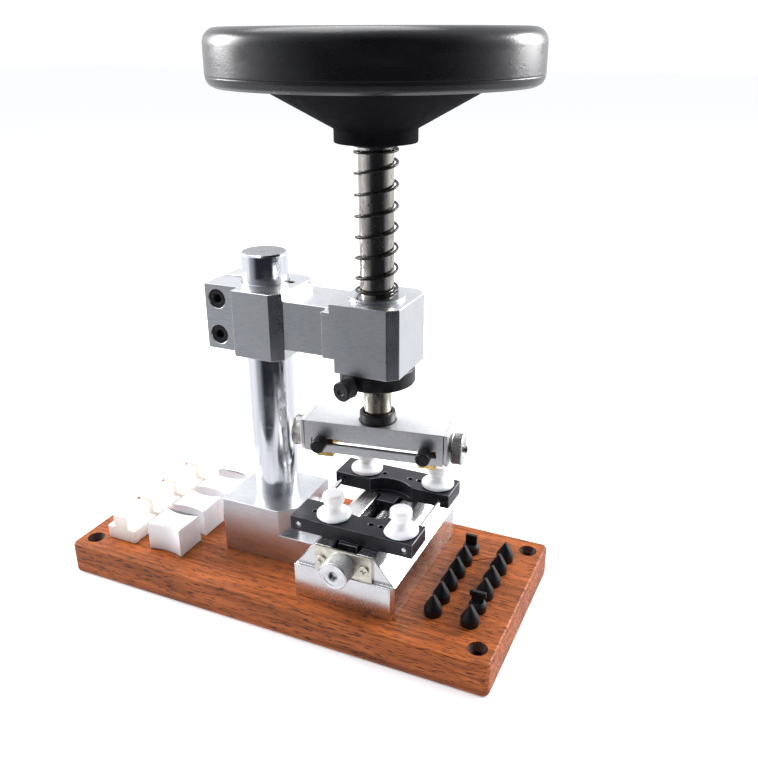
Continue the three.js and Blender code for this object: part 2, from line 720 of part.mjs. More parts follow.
function headKnobGeometry(side) {
  const start = headKnobStart();
  const knob = bevelled(HEAD_KNOB_R, HEAD_KNOB_L, KNOB_EDGE).rotateY(Math.PI / 2);
  const placed = knob.translate(side > 0 ? start : -start - HEAD_KNOB_L, 0, HEAD_AXIS_Z);
  const reach = start + HEAD_KNOB_L + THROUGH;
  const bore = rodX(-reach, reach, 0, HEAD_AXIS_Z, HEAD_SCREW_R + FIT_GAP);
  return combine(placed, { cut: [bore] });
}

function carrierGeometry(side) {
  const x = side * CARRIER_OUT;
  const low = HEAD_Z - CARRIER_DROP;
  const [x0, x1, onLip] = [x - CARRIER_L / 2, x + CARRIER_L / 2, HEAD_Z + HEAD_LIP_T + FIT_GAP];
  const block = box(x0, x1, -CARRIER_D / 2, CARRIER_D / 2, onLip, HEAD_Z + CARRIER_TOP_UP);
  const foot = box(x0, x1, -CARRIER_D / 2, CARRIER_FOOT_BACK, low, onLip + THROUGH);
  const footMiddle = (CARRIER_FOOT_BACK - CARRIER_D / 2) / 2;
  const screwBore = rodX(
    x0 - THROUGH, x1 + THROUGH, 0, HEAD_AXIS_Z, HEAD_SCREW_R + FIT_GAP,
  );
  const bitBore = rodZ(x, footMiddle, low - THROUGH, low + CARRIER_BORE_DEPTH, CARRIER_BORE_R, SMALL_ROUND);
  const thumbBore = rodY(
    x, -CARRIER_D / 2 - THROUGH, -CARRIER_D / 2 + THUMB_STEM_IN + FIT_GAP,
    HEAD_AXIS_Z, THUMB_STEM_R + FIT_GAP,
  );
  return combine(block, { add: [foot], cut: [screwBore, bitBore, thumbBore] });
}

function thumbScrewGeometry(side) {
  const x = side * CARRIER_OUT;
  const face = -HEAD_D / 2 - FIT_GAP;
  const knob = rodY(x, face - THUMB_L, face, HEAD_AXIS_Z, THUMB_R);
  const stem = rodY(x, face - THROUGH, -CARRIER_D / 2 + THUMB_STEM_IN, HEAD_AXIS_Z, THUMB_STEM_R);
  return combine(knob, { add: [stem] });
}

// ---------------------------------------------------------------- vice

function bedGeometry() {
  const [w, back] = [BED_W / 2, BED_D / 2];
  const lower = plateZ(outline([
    [RAM_X - w, BED_FRONT], [RAM_X + w - BED_CHAMFER, BED_FRONT], [RAM_X + w, BED_FRONT + BED_CHAMFER],
    [RAM_X + w, back], [RAM_X - w, back],
  ]), DECK, BED_LOW_TOP);
  const foot = w - BED_SIDE_LEDGE;
  const upper = plateY(outline([
    [RAM_X - foot, BED_LOW_TOP - THROUGH], [RAM_X + foot, BED_LOW_TOP - THROUGH], [RAM_X + foot, BED_LOW_TOP],
    [RAM_X + BED_TOP_W / 2, BED_TOP], [RAM_X - BED_TOP_W / 2, BED_TOP], [RAM_X - foot, BED_LOW_TOP],
  ]), BED_UPPER_FRONT, back);
  const [gw, gl] = [GROOVE_W / 2, GROOVE_LOW_W / 2];
  const groove = plateY(outline([
    [RAM_X - gl, BED_TOP - GROOVE_DEPTH], [RAM_X + gl, BED_TOP - GROOVE_DEPTH],
    [RAM_X + gl, BED_TOP - GROOVE_TAPER], [RAM_X + gw, BED_TOP], [RAM_X + gw, BED_TOP + THROUGH],
    [RAM_X - gw, BED_TOP + THROUGH], [RAM_X - gw, BED_TOP], [RAM_X - gl, BED_TOP - GROOVE_TAPER],
  ]), BED_UPPER_FRONT - THROUGH, back - GROOVE_END_WALL);
  const screwEnd = rodY(
    RAM_X, 0, back - GROOVE_END_WALL / 2 + FIT_GAP, VICE_AXIS_Z, VICE_SCREW_R + FIT_GAP,
  );
  const plateHoles = [-1, 1].map((side) => rodY(
    RAM_X + side * PLATE_SCREW_OUT, BED_UPPER_FRONT - THROUGH, BED_UPPER_FRONT + PLATE_SCREW_L,
    VICE_AXIS_Z, PLATE_SCREW_R + FIT_GAP,
  ));
  return combine(lower, { add: [upper], cut: [groove, screwEnd, ...plateHoles] });
}

function plateGeometry() {
  const low = BED_TOP - PLATE_H;
  const body = box(
    RAM_X - PLATE_W / 2, RAM_X + PLATE_W / 2, PLATE_FRONT, BED_UPPER_FRONT, low, BED_TOP,
  );
  const bores = [-1, 1].map((side) => rodY(
    RAM_X + side * PLATE_SCREW_OUT, PLATE_FRONT - THROUGH, BED_UPPER_FRONT + THROUGH,
    VICE_AXIS_Z, PLATE_SCREW_R + FIT_GAP,
  ));
  const screwBore = rodY(
    RAM_X, PLATE_FRONT - THROUGH, BED_UPPER_FRONT + THROUGH, VICE_AXIS_Z, VICE_SCREW_R + FIT_GAP,
  );
  return combine(body, { cut: [...bores, screwBore] });
}

function plateScrewGeometry(side) {
  const x = RAM_X + side * PLATE_SCREW_OUT;
  const face = PLATE_FRONT - PLATE_SCREW_HEAD_H;
  const head = rodY(x, face, PLATE_FRONT, VICE_AXIS_Z, PLATE_SCREW_HEAD_R);
  const shank = rodY(
    x, PLATE_FRONT - PLATE_SCREW_HEAD_H / 2, BED_UPPER_FRONT + PLATE_SCREW_L - FIT_GAP,
    VICE_AXIS_Z, PLATE_SCREW_R,
  );
  const cross = [[CROSS_HALF_L, CROSS_HALF_W], [CROSS_HALF_W, CROSS_HALF_L]].map(([dx, dz]) => box(
    x - dx, x + dx, face - THROUGH, face + CROSS_DEPTH, VICE_AXIS_Z - dz, VICE_AXIS_Z + dz,
  ));
  return combine(head, { add: [shank], cut: cross });
}

function viceKnobFront() {
  return PLATE_FRONT - PLATE_SCREW_HEAD_H / 2 - VICE_KNOB_L;
}

function viceScrewGeometry() {
  const front = viceKnobFront() + VICE_KNOB_L - VICE_KNOB_BORE + FIT_GAP;
  const back = BED_D / 2 - GROOVE_END_WALL / 2;
  return rodY(RAM_X, front, back, VICE_AXIS_Z, VICE_SCREW_R);
}

function viceKnobGeometry() {
  const front = viceKnobFront();
  const back = front + VICE_KNOB_L;
  const knob = bevelled(VICE_KNOB_R, VICE_KNOB_L, KNOB_EDGE)
    .rotateX(Math.PI / 2)
    .translate(RAM_X, back, VICE_AXIS_Z);
  const bore = rodY(RAM_X, back - VICE_KNOB_BORE, back + THROUGH, VICE_AXIS_Z, VICE_SCREW_R + FIT_GAP);
  const socket = rodY(RAM_X, front - THROUGH, front + VICE_SOCKET_DEPTH, VICE_AXIS_Z, VICE_SOCKET_R, HEX);
  return combine(knob, { cut: [bore, socket] });
}

function pegOffsets() {
  const right = Array.from({ length: PEG_COUNT }, (_, i) => PEG_FIRST + i * PEG_PITCH);
  return [...right.map((x) => -x), ...right];
}

function jawMiddle() {
  return JAW_GAP / 2 + JAW_D / 2;
}

// The jaw at side +1 is the back one; its hollow faces the other jaw.
function jawGeometry(side) {
  const near = side * (JAW_GAP / 2);
  const far = side * (JAW_GAP / 2 + JAW_D);
  const [y0, y1] = [Math.min(near, far), Math.max(near, far)];
  const bar = box(RAM_X - JAW_L / 2, RAM_X + JAW_L / 2, y0, y1, JAW_Z, JAW_TOP);
  const lugNear = near - side * LUG_INWARD;
  const lugFar = far + side * LUG_OUTWARD;
  const lug = box(
    RAM_X - LUG_W / 2, RAM_X + LUG_W / 2, Math.min(lugNear, lugFar), Math.max(lugNear, lugFar),
    BED_TOP - LUG_DEPTH, JAW_Z + THROUGH / 2,
  );
  const arcR = (JAW_ARC_W ** 2 / 4 + JAW_ARC_DEPTH ** 2) / (2 * JAW_ARC_DEPTH);
  const arcY = near + side * (JAW_ARC_DEPTH - arcR);
  const hollow = rodZ(RAM_X, arcY, JAW_Z + THROUGH / 2, JAW_TOP + THROUGH, arcR, ROUND);
  const screwBore = rodY(RAM_X, y0 - JAW_D, y1 + JAW_D, VICE_AXIS_Z, VICE_SCREW_R + FIT_GAP);
  const rodEnd = side > 0 ? near + ROD_IN_BACK_JAW + FIT_GAP : y1 + THROUGH;
  const rodBores = [-1, 1].map((s) => rodY(
    RAM_X + s * ROD_OUT, y0 - THROUGH, rodEnd, ROD_Z, ROD_R + FIT_GAP, SMALL_ROUND,
  ));
  const pegs = pegOffsets().map((x) => rodZ(
    RAM_X + x, side * jawMiddle(), JAW_TOP - PEG_DEPTH - FIT_GAP, JAW_TOP + THROUGH,
    PEG_R + FIT_GAP, PEG_ROUND,
  ));
  return combine(bar, { add: [lug], cut: [hollow, screwBore, ...rodBores, ...pegs] });
}

function rodGeometry(side) {
  const front = -(JAW_GAP / 2 + JAW_D) + FIT_GAP;
  return rodY(RAM_X + side * ROD_OUT, front, JAW_GAP / 2 + ROD_IN_BACK_JAW, ROD_Z, ROD_R);
}

function pinProfile() {
  const z = JAW_TOP + FIT_GAP;
  return [
    [0, JAW_TOP - PEG_DEPTH], [PEG_R, JAW_TOP - PEG_DEPTH], [PEG_R, z], [PIN_R, z], [PIN_R, z + PIN_FLANGE_T],
    [PIN_NECK_R, z + PIN_NECK_LOW], [PIN_NECK_R, z + PIN_NECK_HIGH], [PIN_CAP_R, z + PIN_CAP_LOW],
    [PIN_CAP_R, z + PIN_H - PIN_CAP_EDGE], [PIN_CAP_R - PIN_CAP_EDGE, z + PIN_H], [0, z + PIN_H],
  ];
}

// A flat pin has one side of its flange cut away along X.
function pinGeometry(flat) {
  const whole = turned(pinProfile(), PIN_ROUND);
  if (!flat) return whole;
  const cutter = box(
    -PIN_R - THROUGH, -PIN_FLAT, -PIN_R - THROUGH, PIN_R + THROUGH, JAW_TOP, JAW_TOP + PIN_H,
  );
  return combine(whole, { cut: [cutter] });
}

// ---------------------------------------------------------------- spare blocks and bits

function blockFront(i) {
  return -BOARD_W / 2 + BLOCK_FRONT + i * BLOCK_PITCH;
}

function ridgeGeometry(i) {
  const [w, t] = [RIDGE_W / 2, RIDGE_TOP_W / 2];
  const [step, top] = [DECK + RIDGE_BASE_H, DECK + RIDGE_H];
  return plateY(outline([
    [RIDGE_X - w, DECK], [RIDGE_X + w, DECK], [RIDGE_X + w, step], [RIDGE_X + t, step],
    [RIDGE_X + t, top], [RIDGE_X - t, top], [RIDGE_X - t, step], [RIDGE_X - w, step],
  ]), blockFront(i), blockFront(i) + RIDGE_D);
}

// A block whose front and back are hollowed to seat on the outside of a round case.
function hollowGeometry(i) {
  const [front, back] = [blockFront(i), blockFront(i) + HOLLOW_D];
  const body = box(HOLLOW_X - HOLLOW_W / 2, HOLLOW_X + HOLLOW_W / 2, front, back, DECK, DECK + HOLLOW_H);
  const radius = (dip) => (HOLLOW_W ** 2 / 4 + dip ** 2) / (2 * dip);
  const frontR = radius(HOLLOW_DIP);
  const backR = radius(HOLLOW_BACK_DIP);
  const cylinder = (y, r) => rodZ(HOLLOW_X, y, DECK - THROUGH, DECK + HOLLOW_H + THROUGH, r, HOLLOW_ROUND);
  const notch = rodX(
    HOLLOW_X - HOLLOW_W, HOLLOW_X + HOLLOW_W, back, DECK + HOLLOW_H - HOLLOW_NOTCH_DOWN, HOLLOW_NOTCH_R,
  );
  const frontHollow = cylinder(front + HOLLOW_DIP - frontR, frontR);
  const backHollow = cylinder(back - HOLLOW_BACK_DIP + backR, backR);
  return combine(body, { cut: [frontHollow, backHollow, notch] });
}

function bitBase(height, tipR) {
  return turned([
    [0, -BIT_SHANK_L], [BIT_SHANK_R, -BIT_SHANK_L], [BIT_SHANK_R, 0], [BIT_R, 0], [BIT_R, BIT_BODY_H],
    [tipR, height], [0, height],
  ], SMALL_ROUND);
}

// A cone with two flats that meet it in a chisel edge.
function chiselBit() {
  const slope = Math.atan2(BIT_R - BIT_FLAT_HALF, BIT_H - BIT_BODY_H);
  const flats = [-1, 1].map((side) => box(0, 2 * BIT_R, -2 * BIT_R, 2 * BIT_R, -BIT_H, BIT_H)
    .rotateY(-slope)
    .translate(BIT_FLAT_HALF, 0, BIT_H)
    .rotateZ(side > 0 ? 0 : Math.PI));
  return combine(bitBase(BIT_H, BIT_TIP_R), { cut: flats });
}

function bladeBit(topWidth) {
  const stub = bitBase(BLADE_COLLAR_H, BLADE_COLLAR_TOP_R);
  const blade = box(-BLADE_W / 2, BLADE_W / 2, -BLADE_T / 2, BLADE_T / 2, BIT_BODY_H, BIT_H);
  const top = box(
    -topWidth / 2, topWidth / 2, -BLADE_T / 2, BLADE_T / 2, BIT_H - BLADE_TOP_H, BIT_H,
  );
  return combine(stub, { add: [blade, top] });
}

// ---------------------------------------------------------------- assembly

const press = new THREE.Group();
press.name = 'watch_case_press';

press.add(mesh('wooden_base', boardGeometry(), WOOD));
press.add(mesh('riser_block', riserGeometry(), ALUMINIUM));
press.add(mesh('column', columnGeometry(), POLISHED));

press.add(mesh('clamp_arm', armGeometry(), ALUMINIUM));
clampScrewHeights().forEach((z, i) => {
  const screw = mesh(`clamp_screw_${i + 1}`, capScrewGeometry(), BLACK_STEEL);
  screw.position.set(COLUMN_X - CLAMP_SCREW_REACH, -EAR_FRONT + CLAMP_SINK - CLAMP_HEAD_H, z);
  press.add(screw);
});
const setScrew = mesh('arm_set_screw', setScrewGeometry(), BLACK_STEEL);
setScrew.position.set(...setScrewPlace(), ARM_TOP);
press.add(setScrew);
press.add(mesh('shaft_bush', bushGeometry(), ALUMINIUM));
press.add(mesh('return_spring', springGeometry(), BLACK_STEEL));
press.add(mesh('spring_seat', seatGeometry(), BLACK_STEEL));

const ram = new THREE.Group();
ram.position.set(RAM_X, 0, 0);
ram.rotation.z = THREE.MathUtils.degToRad(HEAD_TURN);
press.add(ram);
ram.add(mesh('ram_shaft', ramGeometry(), CHROME));
ram.add(mesh('handwheel', wheelGeometry(), BLACK_PLASTIC));
ram.add(mesh('stop_collar', collarGeometry(), BLACK_STEEL));
const collarScrew = mesh('collar_thumb_screw', collarScrewGeometry(), BLACK_STEEL);
collarScrew.position.set(0, 0, COLLAR_Z + COLLAR_SCREW_UP);
collarScrew.rotation.z = THREE.MathUtils.degToRad(COLLAR_SCREW_TURN);
ram.add(collarScrew);
ram.add(mesh('head_ring_nut', ringNutGeometry(), BLACK_STEEL));
ram.add(mesh('head_housing', housingGeometry(), ALUMINIUM));
ram.add(mesh('head_lead_screw', headScrewGeometry(), CHROME));
for (const [word, side] of [['left', -1], ['right', 1]]) {
  ram.add(mesh(`head_end_plate_${word}`, endPlateGeometry(side), ALUMINIUM));
  ram.add(mesh(`head_knob_${word}`, headKnobGeometry(side), NICKEL));
  ram.add(mesh(`tip_carrier_${word}`, carrierGeometry(side), BRASS));
  ram.add(mesh(`carrier_thumb_screw_${word}`, thumbScrewGeometry(side), BLACK_STEEL));
  press.add(mesh(`plate_screw_${word}`, plateScrewGeometry(side), NICKEL));
  press.add(mesh(`guide_rod_${word}`, rodGeometry(side), CHROME));
}

press.add(mesh('vice_bed', bedGeometry(), ALUMINIUM));
press.add(mesh('bracket_plate', plateGeometry(), NICKEL));
press.add(mesh('vice_lead_screw', viceScrewGeometry(), CHROME));
press.add(mesh('vice_knob', viceKnobGeometry(), NICKEL));
press.add(mesh('jaw_front', jawGeometry(-1), ANODISED));
press.add(mesh('jaw_back', jawGeometry(1), ANODISED));

// Name, jaw, left or right half, hole counted out from the middle, flat or round.
const PINS = [
  ['pin_front_left', -1, -1, 1, false],
  ['pin_front_right', -1, 1, 3, true],
  ['pin_back_left', 1, -1, 2, false],
  ['pin_back_right', 1, 1, 3, false],
];
for (const [name, side, hand, hole, flat] of PINS) {
  const pin = mesh(name, pinGeometry(flat), NYLON);
  pin.position.set(RAM_X + hand * (PEG_FIRST + hole * PEG_PITCH), side * jawMiddle(), 0);
  press.add(pin);
}

for (let i = 0; i < BLOCK_COUNT; i += 1) {
  press.add(mesh(`ridge_block_${i + 1}`, ridgeGeometry(i), NYLON));
  press.add(mesh(`hollow_block_${i + 1}`, hollowGeometry(i), NYLON));
}

// The last bit of the left row is a plain blade; the second of the right row is a blade with a wide top.
const BLADE_WIDTHS = { 6: BLADE_W, 8: BLADE_TOP_W };
bitPlaces().forEach(([x, y], i) => {
  const width = BLADE_WIDTHS[i + 1];
  const bit = mesh(`bit_${i + 1}`, width ? bladeBit(width) : chiselBit(), BLACK_STEEL);
  bit.position.set(x, y, DECK);
  press.add(bit);
});

export default press;
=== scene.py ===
import json
import math

import bmesh
import bpy
import numpy as np
from mathutils import Matrix, Vector


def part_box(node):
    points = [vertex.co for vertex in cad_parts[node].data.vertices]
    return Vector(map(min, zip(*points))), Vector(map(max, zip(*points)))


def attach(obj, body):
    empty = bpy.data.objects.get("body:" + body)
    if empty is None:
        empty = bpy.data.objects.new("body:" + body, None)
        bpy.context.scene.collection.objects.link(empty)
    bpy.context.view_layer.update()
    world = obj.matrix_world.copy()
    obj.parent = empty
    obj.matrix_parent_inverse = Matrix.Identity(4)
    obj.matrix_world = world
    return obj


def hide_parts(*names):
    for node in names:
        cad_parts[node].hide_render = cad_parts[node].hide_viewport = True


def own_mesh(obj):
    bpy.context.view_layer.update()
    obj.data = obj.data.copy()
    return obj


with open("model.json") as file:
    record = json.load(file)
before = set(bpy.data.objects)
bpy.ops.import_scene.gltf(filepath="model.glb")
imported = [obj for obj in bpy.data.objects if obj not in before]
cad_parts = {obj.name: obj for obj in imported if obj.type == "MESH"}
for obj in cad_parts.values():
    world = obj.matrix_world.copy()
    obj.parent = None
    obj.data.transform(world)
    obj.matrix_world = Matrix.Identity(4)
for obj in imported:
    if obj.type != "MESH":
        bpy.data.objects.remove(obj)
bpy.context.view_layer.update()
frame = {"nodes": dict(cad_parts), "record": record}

MM = 0.001
TURN = 2 * math.pi

# ---- camera: where it stands in metres, its angles in degrees, and its lens in millimetres
CAMERA_PLACE = (0.18106, -0.30686, 0.25252)
CAMERA_YAW = 24.43
CAMERA_TILT = 67.37
CAMERA_ROLL = -0.19
LENS = 39.44
SENSOR = 36
SHIFT_X = -0.0062
SHIFT_Y = 0.0022

# ---- sizes in millimetres that the nodes' boxes don't give by themselves
HEAD_TURN = math.radians(8.9)
RAM_LOW_R = 6.2
COLUMN_CHAMFER = 0.9
GRUB_HOLE_R = 1.0
GRUB_HOLE_DEPTH = 1.4
HEAD_THREAD = 2.0
VICE_THREAD = 1.5
THREAD_DEPTH = 0.4
KNOB_FROM = 34.6
KNOB_TO = 39.6
CARRIER_OUT = 24
COLLAR_SCREW_TURN = math.radians(-111.3)
SPRING_START = math.radians(-69)
PIN_STEM = 4.3
PIN_FLANGE_R = 7.8
PIN_FLAT = 6.2
BIT_STEM = 8
BIT_STEM_R = 1.9
BIT_R = 4.1
BIT_TIP = 0.35
BIT_TAPER = 6.4
BITS_LEFT_AS_DRAWN = (6, 8)
CORNER_HOLE_IN = (8, 9.5)
CORNER_HOLE_R = 4.6
SOCKET_R = 2.6
HEX_CORNER = 1.155

# ---- floor in metres: the white floor, and the smaller sheet just under it that the metal reflects
FLOOR_REACH = 6
NEAR_SHEET = 0.15
SHEET_DROP = 0.0002

BODY_OF = {
    node: body
    for body, nodes in frame["record"]["behaviour"]["bodies"].items()
    for node in nodes
}


def span(node):
    """Lowest and highest corner of a CAD node, in millimetres."""
    low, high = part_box(node)
    return np.array(low) / MM, np.array(high) / MM


def middle(node):
    """Middle of a CAD node's box, in millimetres."""
    low, high = span(node)
    return (low + high) / 2


RAM = middle("shaft_bush")
HEAD_X = np.array([math.cos(HEAD_TURN), math.sin(HEAD_TURN), 0])
HEAD_FRONT = np.array([math.sin(HEAD_TURN), -math.cos(HEAD_TURN), 0])
UP = np.array([0, 0, 1.0])
FRONT = np.array([0, -1.0, 0])


# ---------------------------------------------------------------- camera, floor and light

def set_camera():
    """The fitted camera: turned, tilted and rolled in that order, with its depth of field off."""
    camera = bpy.data.objects.new("camera", bpy.data.cameras.new("camera"))
    bpy.context.scene.collection.objects.link(camera)
    turn = (
        Matrix.Rotation(math.radians(CAMERA_YAW), 4, "Z")
        @ Matrix.Rotation(math.radians(CAMERA_TILT), 4, "X")
        @ Matrix.Rotation(math.radians(CAMERA_ROLL), 4, "Z")
    )
    camera.matrix_world = Matrix.Translation(CAMERA_PLACE) @ turn
    camera.data.lens = LENS
    camera.data.sensor_width = SENSOR
    camera.data.shift_x = SHIFT_X
    camera.data.shift_y = SHIFT_Y
    camera.data.clip_start = 0.01
    camera.data.clip_end = 20
    camera.data.dof.use_dof = False
    bpy.context.scene.camera = camera


set_camera()


def node(tree, kind, **inputs):
    """A shader node with its inputs set by name, with _ for a space; a socket given as a value is linked."""
    made = tree.nodes.new(kind)
    for name, value in inputs.items():
        plug(tree, made.inputs[name.replace("_", " ")], value)
    return made


def plug(tree, socket, value):
    """Links a socket to a socket, or sets it to a plain value."""
    if isinstance(value, bpy.types.NodeSocket):
        tree.links.new(value, socket)
    else:
        socket.default_value = value


def area_light(name, place, aim, size, power):
    """A soft rectangular lamp that lights the press and that the camera doesn't see."""
    lamp = bpy.data.objects.new(name, bpy.data.lights.new(name, "AREA"))
    bpy.context.scene.collection.objects.link(lamp)
    lamp.data.shape = "RECTANGLE"
    lamp.data.size, lamp.data.size_y = size
    lamp.data.energy = power
    lamp.location = place
    lamp.visible_camera = False
    lamp.rotation_euler = (Vector(aim) - Vector(place)).to_track_quat("-Z", "Y").to_euler()


def set_surroundings():
    """A pale room that is darker on the side the press faces, a white floor, and three soft lights.

    Reflections see a smaller sheet of the same paper in place of the wide floor, and the camera sees only
    the floor."""
    world = bpy.data.worlds.new("studio")
    bpy.context.scene.world = world
    world.use_nodes = True
    tree = world.node_tree
    tree.nodes.clear()
    way = node(tree, "ShaderNodeTexCoord").outputs["Generated"]
    facing = node(tree, "ShaderNodeVectorMath")
    facing.operation = "DOT_PRODUCT"
    plug(tree, facing.inputs[0], way)
    facing.inputs[1].default_value = (0.5, -0.85, -0.12)
    shade = node(tree, "ShaderNodeValToRGB", Fac=facing.outputs["Value"])
    stops = shade.color_ramp
    stops.interpolation = "EASE"
    stops.elements[0].position = 0.02
    stops.elements[0].color = (1.06, 1.07, 1.11, 1)
    stops.elements[1].position = 0.8
    stops.elements[1].color = (0.022, 0.023, 0.03, 1)
    middle_stop = stops.elements.new(0.45)
    middle_stop.color = (0.36, 0.37, 0.4, 1)
    back = node(tree, "ShaderNodeBackground", Color=shade.outputs["Color"], Strength=1.0)
    out = node(tree, "ShaderNodeOutputWorld")
    tree.links.new(back.outputs[0], out.inputs["Surface"])

    data = bpy.data.meshes.new("floor")
    reach = FLOOR_REACH
    corners = [(-reach, -reach, 0), (reach, -reach, 0), (reach, reach, 0), (-reach, reach, 0)]
    data.from_pydata(corners, [], [(0, 1, 2, 3)])
    floor = bpy.data.objects.new("floor", data)
    bpy.context.scene.collection.objects.link(floor)
    paper = bpy.data.materials.new("white_paper")
    paper.use_nodes = True
    surface = paper.node_tree.nodes["Principled BSDF"]
    surface.inputs["Base Color"].default_value = (0.93, 0.93, 0.94, 1)
    surface.inputs["Roughness"].default_value = 0.9
    surface.inputs["Emission Color"].default_value = (0.97, 0.97, 1.0, 1)
    surface.inputs["Emission Strength"].default_value = 0.2
    data.materials.append(paper)
    floor.visible_glossy = False

    sheet = bpy.data.objects.new("near_sheet", data.copy())
    shrink = NEAR_SHEET / reach
    sheet.data.transform(Matrix.Translation((0, 0, -SHEET_DROP)) @ Matrix.Diagonal((shrink, shrink, 1, 1)))
    bpy.context.scene.collection.objects.link(sheet)
    sheet.visible_camera = False

    area_light("soft_top", (-0.2, 0.15, 0.95), (0.0, 0.0, 0.05), (0.7, 0.7), 7.5)
    area_light("window_left", (-0.95, -0.02, 0.46), (0.0, 0.0, 0.2), (0.42, 0.42), 13)
    area_light("window_right", (0.66, 0.74, 0.46), (0.0, 0.0, 0.2), (0.5, 0.42), 15)
    bpy.context.scene.view_settings.view_transform = "Standard"


set_surroundings()


# ---------------------------------------------------------------- finishes

class Finish:
    """A material under construction: its node tree, its shader, and the object's own coordinates."""

    def __init__(self, name, metal, rough):
        self.material = bpy.data.materials.new(name)
        self.material.use_nodes = True
        self.tree = self.material.node_tree
        self.shader = self.tree.nodes["Principled BSDF"]
        self.place = node(self.tree, "ShaderNodeTexCoord").outputs["Object"]
        self.set("Metallic", metal)
        self.set("Roughness", rough)

    def set(self, name, value):
        plug(self.tree, self.shader.inputs[name], value)

    def stretched(self, stretch, turn=0.0):
        made = node(self.tree, "ShaderNodeMapping", Vector=self.place, Rotation=(0, 0, turn), Scale=stretch)
        return made.outputs[0]

    def cloud(self, stretch, detail=3.0, turn=0.0, distortion=0.0):
        """Noise whose cells per metre along x, y and z are the stretch."""
        where = self.stretched(stretch, turn)
        return node(
            self.tree, "ShaderNodeTexNoise", Vector=where, Scale=1.0, Detail=detail, Roughness=0.55,
            Distortion=distortion,
        ).outputs[0]

    def ranged(self, source, low, high, start=0.0, end=1.0):
        made = node(self.tree, "ShaderNodeMapRange")
        for socket, value in zip(made.inputs, (source, start, end, low, high)):
            plug(self.tree, socket, value)
        return made.outputs[0]

    def ramp(self, source, stops):
        made = node(self.tree, "ShaderNodeValToRGB", Fac=source)
        elements = made.color_ramp.elements
        while len(elements) < len(stops):
            elements.new(0.5)
        for element, (position, colour) in zip(elements, stops):
            element.position = position
            element.color = (*colour, 1)
        return made.outputs["Color"]

    def mixed(self, amount, first, second, way="MIX"):
        made = self.tree.nodes.new("ShaderNodeMix")
        made.data_type = "RGBA"
        made.blend_type = way
        plug(self.tree, made.inputs[0], amount)
        plug(self.tree, made.inputs[6], first if isinstance(first, bpy.types.NodeSocket) else (*first, 1))
        plug(self.tree, made.inputs[7], second if isinstance(second, bpy.types.NodeSocket) else (*second, 1))
        return made.outputs[2]

    def sum(self, first, second, way="ADD"):
        made = self.tree.nodes.new("ShaderNodeMath")
        made.operation = way
        plug(self.tree, made.inputs[0], first)
        plug(self.tree, made.inputs[1], second)
        return made.outputs[0]

    def raise_by(self, height, depth_mm, strength=1.0):
        made = node(self.tree, "ShaderNodeBump", Height=height, Strength=strength, Distance=depth_mm * MM)
        self.set("Normal", made.outputs[0])


def shaded(tone, share):
    """A colour made darker or lighter by the share."""
    return tuple(share * part for part in tone)


def wood(name, tone):
    """Reddish-brown open-grained board: bands along x, darker streaks, and short dark pores."""
    look = Finish(name, 0.0, 0.5)
    look.set("Specular IOR Level", 0.22)
    bands = look.cloud((7, 75, 60), 5.0, distortion=0.6)
    streaks = look.cloud((28, 620, 520), 4.0)
    pores = look.cloud((170, 1900, 1500), 2.0)
    base = look.ramp(bands, [
        (0.28, shaded(tone, 0.62)), (0.46, tone), (0.6, shaded(tone, 1.4)), (0.78, shaded(tone, 0.85)),
    ])
    streaked = look.mixed(look.ranged(streaks, 0.0, 0.85, 0.42, 0.72), base, shaded(tone, 0.4))
    pored = look.ranged(pores, 1.0, 0.0, 0.36, 0.45)
    look.set("Base Color", look.mixed(look.sum(pored, 0.85, "MULTIPLY"), streaked, (0.02, 0.006, 0.004)))
    look.set("Roughness", look.ranged(streaks, 0.36, 0.58, 0.3, 0.7))
    look.raise_by(look.sum(streaks, look.sum(pored, -1.6, "MULTIPLY")), 0.12, 0.8)
    return look.material


SATIN_TONES = ((0.56, 0.57, 0.59), (0.68, 0.69, 0.71))
BED_TONES = ((0.7, 0.7, 0.7), (0.8, 0.8, 0.8))
HEAD_TONES = ((0.74, 0.75, 0.76), (0.88, 0.88, 0.89))
TURNED_TONES = ((0.2, 0.2, 0.22), (0.36, 0.36, 0.38))


def aluminium(name, grain, rough=(0.24, 0.38), colour=SATIN_TONES, turn=0.0, marks=0.3):
    """Satin metal with a fine brushed grain, cloudy handling marks and a few scratches."""
    look = Finish(name, 1.0, 0.3)
    brushed = look.cloud(grain, 3.0, turn)
    clouds = look.cloud((55, 55, 55), 3.0)
    specks = look.cloud((900, 900, 900), 2.0)
    scratches = look.cloud(shaded(grain, 0.35), 1.0, turn + 0.35)
    scratched = look.ranged(scratches, 0.0, marks, 0.68, 0.74)
    tone = look.mixed(look.ranged(brushed, 0.0, 1.0, 0.3, 0.7), *colour)
    specked = look.ranged(specks, 0.0, 0.4 * marks, 0.62, 0.78)
    look.set("Base Color", look.mixed(specked, tone, (0.42, 0.42, 0.44)))
    rough_mix = look.sum(look.ranged(clouds, *rough, 0.3, 0.7), look.sum(scratched, 0.12, "MULTIPLY"))
    look.set("Roughness", look.sum(rough_mix, look.ranged(brushed, -0.03, 0.04, 0.3, 0.7)))
    look.raise_by(look.sum(brushed, look.sum(scratched, -0.7, "MULTIPLY")), 0.016, 0.3)
    return look.material


